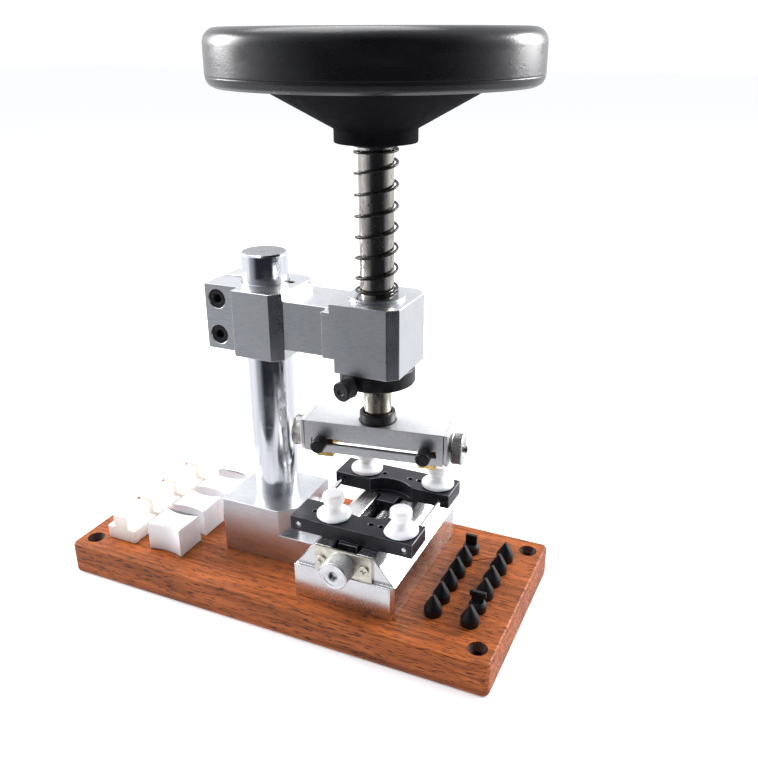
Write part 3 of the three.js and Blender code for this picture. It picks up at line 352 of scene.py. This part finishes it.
def polished_steel():
    """Bright ground column: fine marks round it, faint vertical drawing lines, and light rubbing."""
    look = Finish("polished_steel", 1.0, 0.12)
    rings = look.cloud((90, 90, 1500), 2.0)
    drawn = look.cloud((700, 700, 10), 3.0)
    rubbed = look.cloud((130, 130, 60), 4.0)
    look.set("Base Color", look.ramp(drawn, [(0.3, (0.66, 0.68, 0.72)), (0.7, (0.84, 0.85, 0.88))]))
    dull = look.ranged(rubbed, 0.07, 0.2, 0.35, 0.7)
    look.set("Roughness", look.sum(dull, look.ranged(rings, 0.0, 0.05, 0.4, 0.7)))
    look.raise_by(look.sum(rings, drawn), 0.012, 0.3)
    return look.material


def worn_chrome(name, tint, pits=0.7):
    """Old plating: streaks along the shaft, dull patches, and small dark pits through the plate."""
    look = Finish(name, 1.0, 0.2)
    patches = look.cloud((160, 160, 80), 5.0)
    streaks = look.cloud((800, 800, 45), 4.0)
    spots = look.cloud((620, 620, 430), 3.0)
    pitted = look.ranged(spots, 0.0, pits, 0.6, 0.66)
    base = look.mixed(look.ranged(patches, 0.0, 1.0, 0.4, 0.62), tint, shaded(tint, 0.55))
    dulled = look.mixed(look.ranged(streaks, 0.0, 0.5, 0.5, 0.7), base, (0.2, 0.19, 0.17))
    look.set("Base Color", look.mixed(pitted, dulled, (0.05, 0.045, 0.04)))
    dull = look.ranged(patches, 0.1, 0.34, 0.35, 0.65)
    look.set("Roughness", look.sum(dull, look.sum(pitted, 0.4, "MULTIPLY")))
    look.raise_by(look.sum(streaks, look.sum(pitted, -2.0, "MULTIPLY")), 0.03, 0.6)
    return look.material


def plated(name, light, dark, rough=(0.2, 0.36)):
    """Smooth plated metal with faint clouding and fine specks, and painted shade: the colour goes darker down
    in any knurl or thread, by how deep the point is cut.
    """
    look = Finish(name, 1.0, 0.25)
    clouds = look.cloud((240, 240, 240), 4.0)
    fine = look.cloud((2200, 2200, 2200), 2.0)
    groove = look.tree.nodes.new("ShaderNodeAttribute")
    groove.attribute_name = "groove"
    clouded = look.mixed(look.ranged(clouds, 0.0, 1.0, 0.35, 0.65), light, dark)
    # painted shade: the cut depth darkens the colour toward near black in knurls, threads and holes, where
    # shade falls
    sunk = look.ranged(groove.outputs["Fac"], 0.0, 0.9)
    look.set("Base Color", look.mixed(sunk, clouded, (0.05, 0.05, 0.05)))
    look.set("Roughness", look.ranged(clouds, *rough, 0.3, 0.7))
    look.raise_by(fine, 0.012, 0.35)
    return look.material


OXIDE_DARK = (0.004, 0.004, 0.005)
OXIDE_LIGHT = (0.012, 0.012, 0.014)


def blackened(name, dark=OXIDE_DARK, light=OXIDE_LIGHT, rough=(0.26, 0.42), metal=0.0, gloss=0.4):
    """Black oxide or black paint on metal: faint mottling, a dry grain and a dull gloss."""
    look = Finish(name, metal, 0.4)
    mottle = look.cloud((260, 260, 260), 4.0)
    grain = look.cloud((1700, 1700, 1700), 2.0)
    look.set("Base Color", look.mixed(look.ranged(mottle, 0.0, 1.0, 0.35, 0.7), dark, light))
    dull = look.ranged(mottle, *rough, 0.3, 0.7)
    look.set("Roughness", look.sum(dull, look.ranged(grain, -0.04, 0.05, 0.3, 0.7)))
    look.set("Specular IOR Level", gloss)
    look.raise_by(grain, 0.02, 0.4)
    return look.material


def wheel_plastic():
    """Moulded black plastic: an orange-peel skin, soft gloss and a few pale rubs."""
    look = Finish("wheel_plastic", 0.0, 0.36)
    peel = look.cloud((1250, 1250, 1250), 2.0)
    rubs = look.cloud((60, 60, 240), 5.0)
    look.set("Base Color", look.mixed(
        look.ranged(rubs, 0.0, 0.6, 0.5, 0.8), (0.005, 0.005, 0.0065), (0.01, 0.01, 0.014)))
    look.set("Roughness", look.ranged(rubs, 0.24, 0.34, 0.35, 0.7))
    look.set("Specular IOR Level", 0.5)
    look.raise_by(peel, 0.06, 0.6)
    return look.material


def nylon(name, light, shade):
    """Milky white moulded plastic: faint clouding, fine tool marks and light let into the surface."""
    look = Finish(name, 0.0, 0.4)
    milk = look.cloud((150, 150, 150), 4.0)
    marks = look.cloud((500, 500, 1900), 3.0)
    look.set("Base Color", look.mixed(look.ranged(milk, 0.0, 1.0, 0.35, 0.7), light, shade))
    look.set("Roughness", look.ranged(marks, 0.3, 0.48, 0.3, 0.7))
    look.set("Subsurface Weight", 0.25)
    look.set("Subsurface Scale", 0.0025)
    look.raise_by(marks, 0.02, 0.35)
    return look.material


WOOD = wood("oiled_wood", (0.33, 0.082, 0.016))
# painted shade: a near-black wood for the faces inside the corner holes and bit sockets, where shade falls
HOLE_SHADE_WOOD = wood("wood_painted_hole_shade", (0.04, 0.012, 0.006))
ARM_METAL = aluminium("satin_aluminium", (240, 2300, 2300))
RISER_METAL = aluminium("riser_aluminium", (210, 2100, 2100), (0.26, 0.4), marks=0.1)
BED_METAL = aluminium("bed_aluminium", (1500, 170, 1500), (0.2, 0.3), BED_TONES, marks=0.0)
HEAD_METAL = aluminium("head_aluminium", (260, 2400, 2400), (0.32, 0.52), HEAD_TONES, -HEAD_TURN, 0.8)
COLUMN_TOP = aluminium("turned_steel", (900, 900, 900), (0.3, 0.5), TURNED_TONES, marks=1.0)
STEEL = polished_steel()
WORN_CHROME = worn_chrome("worn_chrome", (0.56, 0.53, 0.48))
WARM_CHROME = worn_chrome("warm_chrome", (0.76, 0.7, 0.58), 0.35)
BRIGHT_CHROME = plated("bright_chrome", (0.78, 0.78, 0.79), (0.6, 0.6, 0.61), (0.1, 0.2))
KNOB_NICKEL = plated("knob_nickel", (0.76, 0.75, 0.72), (0.58, 0.57, 0.54), (0.22, 0.36))
PLATE_NICKEL = plated("plate_nickel", (0.86, 0.83, 0.72), (0.66, 0.63, 0.53), (0.3, 0.46))
WHITE_NICKEL = plated("white_nickel", (0.9, 0.9, 0.9), (0.74, 0.74, 0.74), (0.3, 0.48))
BRASS = plated("machined_brass", (0.78, 0.55, 0.2), (0.5, 0.33, 0.11), (0.25, 0.42))
BLACK_STEEL = blackened("black_oxide")
SPRING_BLACK = blackened("spring_black", (0.014, 0.013, 0.013), (0.05, 0.047, 0.045), (0.22, 0.4), 0.75)
BIT_BLACK = blackened("bit_black", (0.003, 0.003, 0.004), (0.009, 0.009, 0.011), (0.36, 0.52), 0.0, 0.35)
JAW_BLACK = blackened("black_anodised", (0.006, 0.006, 0.01), (0.014, 0.014, 0.02), (0.3, 0.44), 0.0, 0.4)
WORN_EDGE = blackened("worn_black_edge", (0.09, 0.09, 0.1), (0.28, 0.28, 0.3), (0.3, 0.5), 0.7)
PLASTIC = wheel_plastic()
HUB_PLASTIC = blackened("hub_plastic", (0.003, 0.003, 0.004), (0.006, 0.006, 0.008), (0.6, 0.8), 0.0, 0.03)
PIN_NYLON = nylon("pin_nylon", (0.9, 0.9, 0.91), (0.82, 0.82, 0.84))
RIDGE_NYLON = nylon("ridge_nylon", (0.9, 0.88, 0.83), (0.83, 0.8, 0.74))
HOLLOW_NYLON = nylon("hollow_nylon", (0.88, 0.89, 0.91), (0.8, 0.81, 0.84))


# ---------------------------------------------------------------- shapes

def finish_piece(name, data, looks, stands_for, smooth_angle=35):
    """A mesh in metres becomes a piece that rides where its CAD node rides, and hides that node."""
    piece = bpy.data.objects.new(name, data)
    bpy.context.scene.collection.objects.link(piece)
    for look in looks:
        data.materials.append(look)
    data.shade_smooth()
    data.set_sharp_from_angle(angle=math.radians(smooth_angle))
    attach(piece, BODY_OF[stands_for])
    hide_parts(stands_for)
    return piece


def mesh_from(name, points, faces):
    """Points in millimetres and faces as lists of indices, with the faces turned outwards."""
    data = bpy.data.meshes.new(name)
    data.from_pydata((np.asarray(points) * MM).tolist(), [], faces)
    shape = bmesh.new()
    shape.from_mesh(data)
    bmesh.ops.recalc_face_normals(shape, faces=shape.faces)
    shape.to_mesh(data)
    shape.free()
    return data


def softened(stands_for, look, ease=0.3, steps=2, edge_look=None, smooth_angle=35):
    """A merged copy of a CAD node with flat faces made whole and every sharp edge rounded by the ease."""
    name = stands_for + "_finished"
    shape = bmesh.new()
    shape.from_mesh(frame["nodes"][stands_for].data)
    bmesh.ops.remove_doubles(shape, verts=shape.verts, dist=2e-6)
    bmesh.ops.dissolve_limit(shape, angle_limit=math.radians(0.5), verts=shape.verts, edges=shape.edges)
    data = bpy.data.meshes.new(name)
    shape.to_mesh(data)
    shape.free()
    data.materials.clear()
    looks = [look, edge_look] if edge_look else [look]
    piece = finish_piece(name, data, looks, stands_for, smooth_angle)
    if ease:
        bevel = piece.modifiers.new("eased_edges", "BEVEL")
        bevel.width = ease * MM
        bevel.segments = steps
        bevel.limit_method = "ANGLE"
        bevel.angle_limit = math.radians(smooth_angle)
        bevel.use_clamp_overlap = False
        bevel.material = 1 if edge_look else -1
    piece.modifiers.new("flat_faces", "WEIGHTED_NORMAL").keep_sharp = True
    return piece


def eased(profile, ease, steps=4, loop=False):
    """A profile with each corner replaced by a quadratic arc that begins and ends the ease away from it.

    A corner is (radius, height, hex share, knurl share); the last two may be left out."""
    corners = [np.array(list(point) + [0.0] * (4 - len(point)), float) for point in profile]
    made = []
    for i, corner in enumerate(corners):
        if not loop and i in (0, len(corners) - 1):
            made.append(corner)
            continue
        before, after = corners[i - 1], corners[(i + 1) % len(corners)]
        back, ahead = np.linalg.norm((before - corner)[:2]), np.linalg.norm((after - corner)[:2])
        reach = min(ease, 0.4 * back, 0.4 * ahead)
        start = corner + (before - corner) * (reach / back)
        end = corner + (after - corner) * (reach / ahead)
        made.append(start + (before - corner) * min(0.12 / back, 0.08))
        for t in np.linspace(0, 1, steps + 1):
            made.append((1 - t) ** 2 * start + 2 * t * (1 - t) * corner + t * t * end)
        made.append(end + (after - corner) * min(0.12 / ahead, 0.08))
    return np.array(made)


def divided(profile, step, loop=False):
    """The same profile with its long straights cut into lengths no longer than the step."""
    ends = np.roll(profile, -1, axis=0) if loop else profile[1:]
    rows = []
    for start, end in zip(profile, ends):
        count = max(1, int(math.ceil(np.linalg.norm((end - start)[:2]) / step)))
        rows.append(start + (end - start) * (np.arange(count) / count)[:, None])
    if not loop:
        rows.append(profile[-1:])
    return np.concatenate(rows)


def triangle_wave(turns):
    """0 at whole numbers and 1 half-way between them."""
    return 1 - np.abs(2 * (turns - np.floor(turns)) - 1)


def crossed(count, pitch, depth, hole=None):
    """Diamond knurl: two families of grooves wind opposite ways, and the deeper of the two is cut.

    A small round hole may be sunk in it, given by its angle, its height and the radius of the side."""
    def cut(angle, along):
        round_turns, up_turns = count * angle / TURN, along / pitch
        rise = np.minimum(triangle_wave(round_turns + up_turns), triangle_wave(round_turns - up_turns))
        cut_in = -depth * (1 - rise)
        if hole:
            away = np.hypot((np.mod(angle - hole[0] + math.pi, TURN) - math.pi) * hole[2], along - hole[1])
            cut_in = np.where(away < GRUB_HOLE_R, -GRUB_HOLE_DEPTH, cut_in)
        return cut_in
    return cut


def straight(count, depth):
    """Straight knurl: grooves run along the axis, evenly round it."""
    return lambda angle, along: -depth * (1 - triangle_wave(count * angle / TURN))


def threaded(pitch, depth, centre=None):
    """Screw thread: the groove climbs one pitch per turn, and changes hand at the centre, if there is one."""
    def cut(angle, along):
        climb = along / pitch if centre is None else np.abs(along - centre) / pitch
        hand = 1 if centre is None else np.where(along < centre, -1, 1)
        return -depth * (1 - triangle_wave(climb - hand * angle / TURN))
    return cut


def lathe(profile, around=96, relief=None, trim=None, loop=False):
    """Surface of revolution about +z.

    A point at angle a on profile row (r, h) is (R cos a, R sin a, h). R is r, times the hexagon's own
    radius at a by the row's hex share, plus the relief at (a, h) by the row's knurl share."""
    rows = profile if loop else profile[1:-1]
    angle = np.arange(around) * TURN / around
    a, r = np.meshgrid(angle, rows[:, 0])
    h, hexed, cut = (np.broadcast_to(rows[:, k : k + 1], r.shape) for k in (1, 2, 3))
    hexagon = math.cos(math.pi / 6) / np.cos(np.mod(a, math.pi / 3) - math.pi / 6)
    radius = r * (1 - hexed + hexed * hexagon)
    if relief:
        radius = radius + cut * relief(a, h)
    x, y, z = radius * np.cos(a), radius * np.sin(a), np.array(h)
    if trim:
        x, y, z = trim(x, y, z)
    points = np.stack([x, y, z], -1).reshape(-1, 3)
    sunk = (r - np.hypot(x, y)).ravel() if relief else None
    count = len(rows)
    row, col = np.meshgrid(np.arange(count if loop else count - 1), np.arange(around), indexing="ij")
    up, on = (row + 1) % count, (col + 1) % around
    faces = np.stack([row * around + col, row * around + on, up * around + on, up * around + col], -1)
    faces = faces.reshape(-1, 4).tolist()
    if not loop:
        first, last = len(points), len(points) + 1
        points = np.vstack([points, [0, 0, profile[0, 1]], [0, 0, profile[-1, 1]]])
        ring = np.arange(around)
        after = (ring + 1) % around
        top = (count - 1) * around
        faces += np.stack([np.full(around, first), after, ring], -1).tolist()
        faces += np.stack([np.full(around, last), top + ring, top + after], -1).tolist()
    return points, faces, sunk


def placed(points, place, axis=UP):
    """Points drawn about +z, turned so that +z lies along the axis, and moved to the place."""
    axis = np.asarray(axis, float)
    side = np.array([1.0, 0, 0]) if abs(axis[2]) > 0.9 else np.cross(UP, axis)
    side = side / np.linalg.norm(side)
    return points @ np.stack([side, np.cross(axis, side), axis]) + np.asarray(place, float)


def turned_piece(stands_for, profile, look, slot_name, place, axis=UP, **how):
    """A lathed piece set at its place along its axis. How deep each point is cut is kept as its groove, which
    the plated finishes turn into painted shade.
    """
    points, faces, sunk = lathe(profile, **how)
    data = mesh_from(stands_for + "_finished", placed(points, place, axis), faces)
    if sunk is not None:
        depth = np.zeros(len(points), np.float32)
        depth[: len(sunk)] = np.clip(sunk / max(sunk.max(), 0.01), 0, 1)
        data.attributes.new("groove", "FLOAT", "POINT").data.foreach_set("value", depth)
    return finish_piece(stands_for + "_finished", data, [look], stands_for)


def paint_faces(piece, look, chosen):
    """Gives the faces whose centres are chosen a second finish."""
    centres = np.zeros(len(piece.data.polygons) * 3)
    piece.data.polygons.foreach_get("center", centres)
    piece.data.materials.append(look)
    picked = chosen(centres.reshape(-1, 3)).astype(np.int32)
    piece.data.polygons.foreach_set("material_index", picked)
    piece.data.update()


def knurled_sides(r, low, high, edge):
    """The rows up a knurled side with a chamfer at each rim."""
    return [
        (r - edge, low), (r, low + edge), (r, low + edge + 0.15, 0, 1),
        (r, high - edge - 0.15, 0, 1), (r, high - edge), (r - edge, high),
    ]


# ---------------------------------------------------------------- column, arm fasteners, ram and wheel

def make_column():
    """A plain post with a small chamfer, bright at the side and turned on its top face."""
    low, high = span("column")
    r = (high[0] - low[0]) / 2
    centre = middle("column")
    rim = high[2] - COLUMN_CHAMFER
    profile = eased([(0, low[2]), (r, low[2]), (r, rim), (r - COLUMN_CHAMFER, high[2]), (0, high[2])], 0.2)
    piece = turned_piece("column", profile, STEEL, "polished_steel", (centre[0], centre[1], 0), around=144)
    paint_faces(piece, COLUMN_TOP, lambda centres: centres[:, 2] > high[2] * MM - 0.0001)


def make_ram():
    """The shaft, which steps down to a slimmer and warmer length below the arm."""
    low, high = span("ram_shaft")
    r = (high[1] - low[1]) / 2
    step = span("clamp_arm")[0][2]
    profile = eased([
        (0, low[2]), (RAM_LOW_R, low[2]), (RAM_LOW_R, step), (r, step), (r, high[2]), (0, high[2]),
    ], 0.3)
    piece = turned_piece("ram_shaft", profile, WORN_CHROME, "chrome", (RAM[0], RAM[1], 0), around=96)
    paint_faces(piece, WARM_CHROME, lambda centres: centres[:, 2] < step * MM)


def make_wheel():
    """Hub, cone, rim with a moulding seam, rounded shoulder and a shallow dish on top, in one profile."""
    low, high = span("handwheel")
    r = (high[1] - low[1]) / 2
    hub_r, hub_top = 16.7, low[2] + 5.3
    rim_low = high[2] - 20.7
    seam = rim_low + 4.1
    bore, bore_top = 7.6, low[2] + 20.3
    top = high[2]
    bend = 5.5
    turns = np.linspace(0, math.pi / 2, 9)
    shoulder = [(r - bend + bend * math.cos(t), top - bend + bend * math.sin(t)) for t in turns]
    hub = [(0, bore_top), (bore, bore_top), (bore, low[2]), (hub_r, low[2]), (hub_r, hub_top)]
    underside = [
        (44.6, rim_low - 0.5), (46.4, rim_low + 0.8), (r - 4.6, rim_low + 0.8), (r - 3.8, rim_low),
        (r - 3.2, rim_low),
    ]
    side = [
        (r - 1.2, rim_low + 1.1), (r - 0.2, rim_low + 3.0), (r - 0.1, seam - 0.25), (r - 0.35, seam),
        (r, seam + 0.25),
    ]
    face = [
        (r - 9, top), (r - 12, top - 0.6), (30, top - 1), (14.5, top - 1), (14, top - 1.4), (13.5, top - 1),
        (0, top - 0.6),
    ]
    profile = eased(hub + underside + side + shoulder + face, 0.5, 3)
    piece = turned_piece("handwheel", profile, PLASTIC, "black_plastic", (RAM[0], RAM[1], 0), around=220)
    paint_faces(piece, HUB_PLASTIC, lambda centres: centres[:, 2] < (rim_low - 0.1) * MM)


def make_spring():
    """The wire's centre runs round the ram at radius R, and its height follows the turns:
    closed turns at each end and open turns between. A section point lies the wire's radius
    away, along the mix of outward and binormal that its own angle gives."""
    low, high = span("return_spring")
    wire, ring = 0.6, 8.6
    low_turns, open_turns, top_turns, end_pitch = 1.25, 6.5, 0.8, 1.45
    total = low_turns + open_turns + top_turns
    height = high[2] - low[2] - 2 * wire
    rise = (height - (low_turns + top_turns) * end_pitch) / open_turns
    turn = np.linspace(0, total, int(total * 64) + 1)
    z = np.minimum(turn, low_turns) * end_pitch
    z = z + np.clip(turn - low_turns, 0, open_turns) * rise
    z = z + np.maximum(turn - low_turns - open_turns, 0) * end_pitch
    soften = np.hanning(25)
    padded_z = np.concatenate([2 * z[0] - z[12:0:-1], z, 2 * z[-1] - z[-2:-14:-1]])
    z = np.convolve(padded_z, soften / soften.sum(), mode="valid")
    phi = turn * TURN + SPRING_START
    out = np.stack([np.cos(phi), np.sin(phi), np.zeros_like(phi)], -1)
    line = out * ring + np.stack([np.zeros_like(z), np.zeros_like(z), z], -1)
    along = np.gradient(line, axis=0)
    along /= np.linalg.norm(along, axis=1)[:, None]
    binormal = np.cross(along, out)
    around = 14
    psi = np.arange(around) * TURN / around
    width = np.full(len(turn), wire)
    width[[0, -1]] = wire * 0.7
    outward = np.cos(psi)[None, :, None] * out[:, None, :]
    sideways = np.sin(psi)[None, :, None] * binormal[:, None, :]
    points = (line[:, None, :] + width[:, None, None] * (outward + sideways)).reshape(-1, 3)
    count = len(turn)
    row, col = np.meshgrid(np.arange(count - 1), np.arange(around), indexing="ij")
    on = (col + 1) % around
    here, ahead = row * around, (row + 1) * around
    faces = np.stack([here + col, here + on, ahead + on, ahead + col], -1).reshape(-1, 4).tolist()
    faces += [list(range(around)), list(range((count - 1) * around, count * around))]
    place = (RAM[0], RAM[1], low[2] + wire)
    data = mesh_from("return_spring_finished", points + np.array(place), faces)
    piece = finish_piece("return_spring_finished", data, [SPRING_BLACK], "return_spring", 60)
    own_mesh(piece)


def ring_piece(stands_for, inner, outer, low, high, look, slot_name, ease=0.3, around=96):
    """A collar or washer: a rectangle between two radii, carried round the ram."""
    profile = eased([(inner, low), (outer, low), (outer, high), (inner, high)], ease, 4, loop=True)
    turned_piece(stands_for, profile, look, slot_name, (RAM[0], RAM[1], 0), around=around, loop=True)


def make_rings():
    """What goes round the ram: the bush in the arm, the spring's seat, the stop collar and the ring nut."""
    low, high = span("shaft_bush")
    flange = (high[0] - low[0]) / 2
    arm_top = high[2] - 1
    bore, sleeve = 7.5, 9.7
    corners = [
        (bore, low[2]), (sleeve, low[2]), (sleeve, arm_top), (flange, arm_top), (flange, high[2]),
        (bore, high[2]),
    ]
    profile = eased(corners, 0.25, 3, loop=True)
    turned_piece("shaft_bush", profile, ARM_METAL, "aluminium", (RAM[0], RAM[1], 0), loop=True)
    low, high = span("spring_seat")
    ring_piece("spring_seat", 7.6, 9.2, low[2], high[2], BLACK_STEEL, "black_steel", 0.3)
    low, high = span("stop_collar")
    ring_piece("stop_collar", 6.5, 16.7, low[2], high[2], BLACK_STEEL, "black_steel", 0.7, around=144)
    low, high = span("head_ring_nut")
    ring_piece("head_ring_nut", 6.5, 8.1, low[2], high[2], BLACK_STEEL, "black_steel", 1.1)


def socket_screw(stands_for, place, axis, shank, shank_l, head, head_h, hexagon, depth, grip=None):
    """A screw drawn from its tip at h = 0 to the top of its head, with a six-sided socket."""
    top = shank_l + head_h
    corner = hexagon * HEX_CORNER
    side = knurled_sides(head, shank_l, top, 0.25) if grip else [(head, shank_l), (head, top)]
    start = [(0, 0), (shank, 0), (shank, shank_l)] if shank < head else [(0, 0)]
    floor = top - depth
    socket = [(corner + 0.2, top), (corner, top - 0.2, 1), (corner, floor, 1), (0, floor)]
    profile = eased(start + side + socket, 0.18, 3)
    if grip:
        profile = divided(profile, 0.35)
    turned_piece(stands_for, profile, BLACK_STEEL, "black_steel", place, axis, around=180, relief=grip)


def make_fasteners():
    """The two clamp screws, the set screw in the arm's top and the collar's knurled thumb screw."""
    for name in ("clamp_screw_1", "clamp_screw_2"):
        low, high = span(name)
        centre = middle(name)
        length = high[1] - low[1]
        socket_screw(
            name, (centre[0], high[1], centre[2]), FRONT, 2.4, length - 4.6, 4.2, 4.6, 2.0, 2.4,
            grip=straight(36, 0.16),
        )
    low, high = span("arm_set_screw")
    centre = middle("arm_set_screw")
    screw_r = (high[0] - low[0]) / 2
    body = high[2] - low[2] - 0.5
    socket_screw("arm_set_screw", (centre[0], centre[1], low[2]), UP, screw_r, 0.5, screw_r, body, 0.8, 2.0)
    z = middle("collar_thumb_screw")[2]
    low, high = span("collar_thumb_screw")
    knob_r = (high[2] - low[2]) / 2
    turn = HEAD_TURN + COLLAR_SCREW_TURN
    axis = np.array([math.cos(turn), math.sin(turn), 0])
    side = knurled_sides(knob_r, 19.1, 25.5, 0.5)
    corners = [(0, 10.7), (1.8, 10.7), (1.8, 19.1)] + side + [(1.6, 25.5), (1.2, 25.1), (0, 25.1)]
    profile = divided(eased(corners, 0.25, 3), 0.2)
    turned_piece(
        "collar_thumb_screw", profile, BLACK_STEEL, "black_steel", (RAM[0], RAM[1], z), axis,
        around=288, relief=crossed(26, 1.2, 0.4),
    )


# ---------------------------------------------------------------- head

def make_head():
    """The head's housing, end plates, knurled knobs, tip carriers with their thumb screws, and leadscrew."""
    axis_z = middle("head_lead_screw")[2]
    centre = (RAM[0], RAM[1], axis_z)
    softened("head_housing", HEAD_METAL, 0.25)
    knob_low, knob_high = span("head_knob_left")
    knob_r = (knob_high[2] - knob_low[2]) / 2
    for word, side in (("left", -1), ("right", 1)):
        softened("head_end_plate_" + word, HEAD_METAL, 0.2)
        softened("tip_carrier_" + word, BRASS, 0.2)
        rows = knurled_sides(knob_r, KNOB_FROM, KNOB_TO, 0.5)
        dish = KNOB_TO - 0.4
        corners = [(2.3, KNOB_FROM)] + rows + [(3.4, KNOB_TO), (3.0, dish), (2.3, dish)]
        profile = divided(eased(corners, 0.2, 3, loop=True), 0.16, loop=True)
        grub_hole = (-0.75, 37.2, knob_r) if side < 0 else None
        turned_piece(
            "head_knob_" + word, profile, KNOB_NICKEL, "nickel", centre, HEAD_X * side,
            around=420, relief=crossed(34, 1.25, 0.42, grub_hole), loop=True,
        )
        profile = eased([
            (0, 3.0), (0.9, 3.0), (0.9, 9.55), (3.05, 9.55), (3.25, 10.2), (3.25, 15.2), (2.7, 15.75),
            (0, 15.75),
        ], 0.5, 4)
        place = np.array(centre) + HEAD_X * side * CARRIER_OUT
        name = "carrier_thumb_screw_" + word
        turned_piece(name, profile, BLACK_STEEL, "black_steel", place, HEAD_FRONT, around=80)
    corners = [(0, -39.3), (2, -39.3), (2, -38.9, 0, 1), (2, 41.0, 0, 1), (2, 41.4), (0, 41.4)]
    profile = divided(eased(corners, 0.15, 2), 0.25)
    turned_piece(
        "head_lead_screw", profile, BRIGHT_CHROME, "chrome", centre, HEAD_X, around=40,
        relief=threaded(HEAD_THREAD, THREAD_DEPTH, 0.0),
    )


# ---------------------------------------------------------------- vice

def make_vice():
    """The bed, its plate, the two jaws, the guide rods, and the leadscrew with its knurled knob."""
    softened("vice_bed", BED_METAL, 0.3)
    softened("bracket_plate", PLATE_NICKEL, 0.2)
    softened("jaw_front", JAW_BLACK, 0.22, 2, WORN_EDGE)
    softened("jaw_back", JAW_BLACK, 0.22, 2, WORN_EDGE)
    for word in ("left", "right"):
        softened("plate_screw_" + word, PLATE_NICKEL, 0.1)
        name = "guide_rod_" + word
        low, high = span(name)
        centre = middle(name)
        length = high[1] - low[1]
        corners = [(0, 0), (1.0, 0), (1.25, 0.25), (1.25, length - 0.25), (1.0, length), (0, length)]
        place = (centre[0], high[1], centre[2])
        turned_piece(name, eased(corners, 0.1, 2), BRIGHT_CHROME, "chrome", place, FRONT, around=48)
    low, high = span("vice_lead_screw")
    centre = middle("vice_lead_screw")
    length = high[1] - low[1]
    corners = [(0, 0), (2.5, 0), (2.5, 0.4, 0, 1), (2.5, length - 0.4, 0, 1), (2.5, length), (0, length)]
    profile = divided(eased(corners, 0.15, 2), 0.3)
    place = (centre[0], high[1], centre[2])
    turned_piece(
        "vice_lead_screw", profile, BRIGHT_CHROME, "chrome", place, FRONT, around=48,
        relief=threaded(VICE_THREAD, THREAD_DEPTH, high[1]),
    )
    low, high = span("vice_knob")
    centre = middle("vice_knob")
    length, r = high[1] - low[1], (high[2] - low[2]) / 2
    rows = knurled_sides(r, 0, length, 0.5)
    bore = 2.8
    socket = 1.75 * HEX_CORNER
    face, floor = length - 0.15, length - 1.8
    dish = [
        (4.6, length), (4.4, face), (2.6, face), (socket, length - 0.5, 1), (socket, floor, 1), (0, floor),
    ]
    profile = eased([(0, 4.8), (bore, 4.8), (bore, 0)] + rows + dish, 0.2, 3)
    turned_piece(
        "vice_knob", divided(profile, 0.18), WHITE_NICKEL, "nickel", (centre[0], high[1], centre[2]), FRONT,
        around=416, relief=crossed(38, 1.1, 0.34),
    )


def pin_profile(foot, low, height):
    """Stem, flange, waist and rounded button of a case-holding pin."""
    return eased([
        (0, foot), (1, foot), (1, low), (PIN_FLANGE_R, low), (PIN_FLANGE_R, low + 1.7), (5.2, low + 3.0),
        (3.7, low + 4.6), (3.6, low + 6.2), (4.6, low + 6.9), (4.9, low + 7.6), (4.9, low + height - 0.8),
        (4.1, low + height), (0, low + height),
    ], 0.6, 4)


def make_pins():
    """Four nylon pins, of which the front right one has a flat on its flange."""
    for name in ("pin_front_left", "pin_front_right", "pin_back_left", "pin_back_right"):
        low, high = span(name)
        flange = low[2] + PIN_STEM
        profile = pin_profile(low[2], flange, high[2] - flange)
        flat = (lambda x, y, z: (np.maximum(x, -PIN_FLAT), y, z)) if name == "pin_front_right" else None
        place = (high[0] - PIN_FLANGE_R, middle(name)[1], 0)
        turned_piece(name, profile, PIN_NYLON, "nylon", place, trim=flat, around=96)


# ---------------------------------------------------------------- blocks and bits

def make_bits():
    """Spare bits: a round stem and a shoulder that two flats narrow to a blade."""
    for i in range(1, 13):
        name = f"bit_{i}"
        low, high = span(name)
        centre = middle(name)
        if i in BITS_LEFT_AS_DRAWN:
            softened(name, BIT_BLACK, 0.12, smooth_angle=40)
            continue
        deck = low[2] + BIT_STEM
        slope = (BIT_R - BIT_TIP) / BIT_TAPER
        top = high[2]

        def flats(x, y, z):
            half = np.maximum(BIT_TIP + slope * (top - z), BIT_TIP)
            return np.clip(x, -half, half), y, z

        profile = divided(eased([
            (0, low[2]), (BIT_STEM_R, low[2]), (BIT_STEM_R, deck), (BIT_R, deck), (BIT_R, deck + 3.4),
            (0.9, top), (0, top),
        ], 0.15, 3), 0.4)
        place = (centre[0], centre[1], 0)
        piece = turned_piece(name, profile, BIT_BLACK, "black_steel", place, trim=flats, around=96)
        piece.data.set_sharp_from_angle(angle=math.radians(16))


def make_base():
    """The board, with shade painted inside its corner holes and bit sockets as darker wood."""
    piece = softened("wooden_base", WOOD, 0)
    low, high = span("wooden_base")
    in_x, in_y = CORNER_HOLE_IN
    corners = [(x, y) for x in (low[0] + in_x, high[0] - in_x) for y in (low[1] + in_y, high[1] - in_y)]
    sockets = [tuple(middle(f"bit_{i}")[:2]) for i in range(1, 13)]

    def inside(centres):
        found = np.zeros(len(centres), bool)
        for (x, y), r in [(c, CORNER_HOLE_R) for c in corners] + [(c, SOCKET_R) for c in sockets]:
            found |= np.hypot(centres[:, 0] / MM - x, centres[:, 1] / MM - y) < r
        return found & (centres[:, 2] > 1e-4)

    # painted shade: the faces inside the holes and sockets take the near-black wood
    paint_faces(piece, HOLE_SHADE_WOOD, inside)


make_base()
softened("riser_block", RISER_METAL, 0.35)
softened("clamp_arm", ARM_METAL, 0.3)
make_column()
make_ram()
make_wheel()
make_spring()
make_rings()
make_fasteners()
make_head()
make_vice()
make_pins()
for number in range(1, 5):
    softened(f"ridge_block_{number}", RIDGE_NYLON, 0.45, 3)
    softened(f"hollow_block_{number}", HOLLOW_NYLON, 0.45, 3)
make_bits()
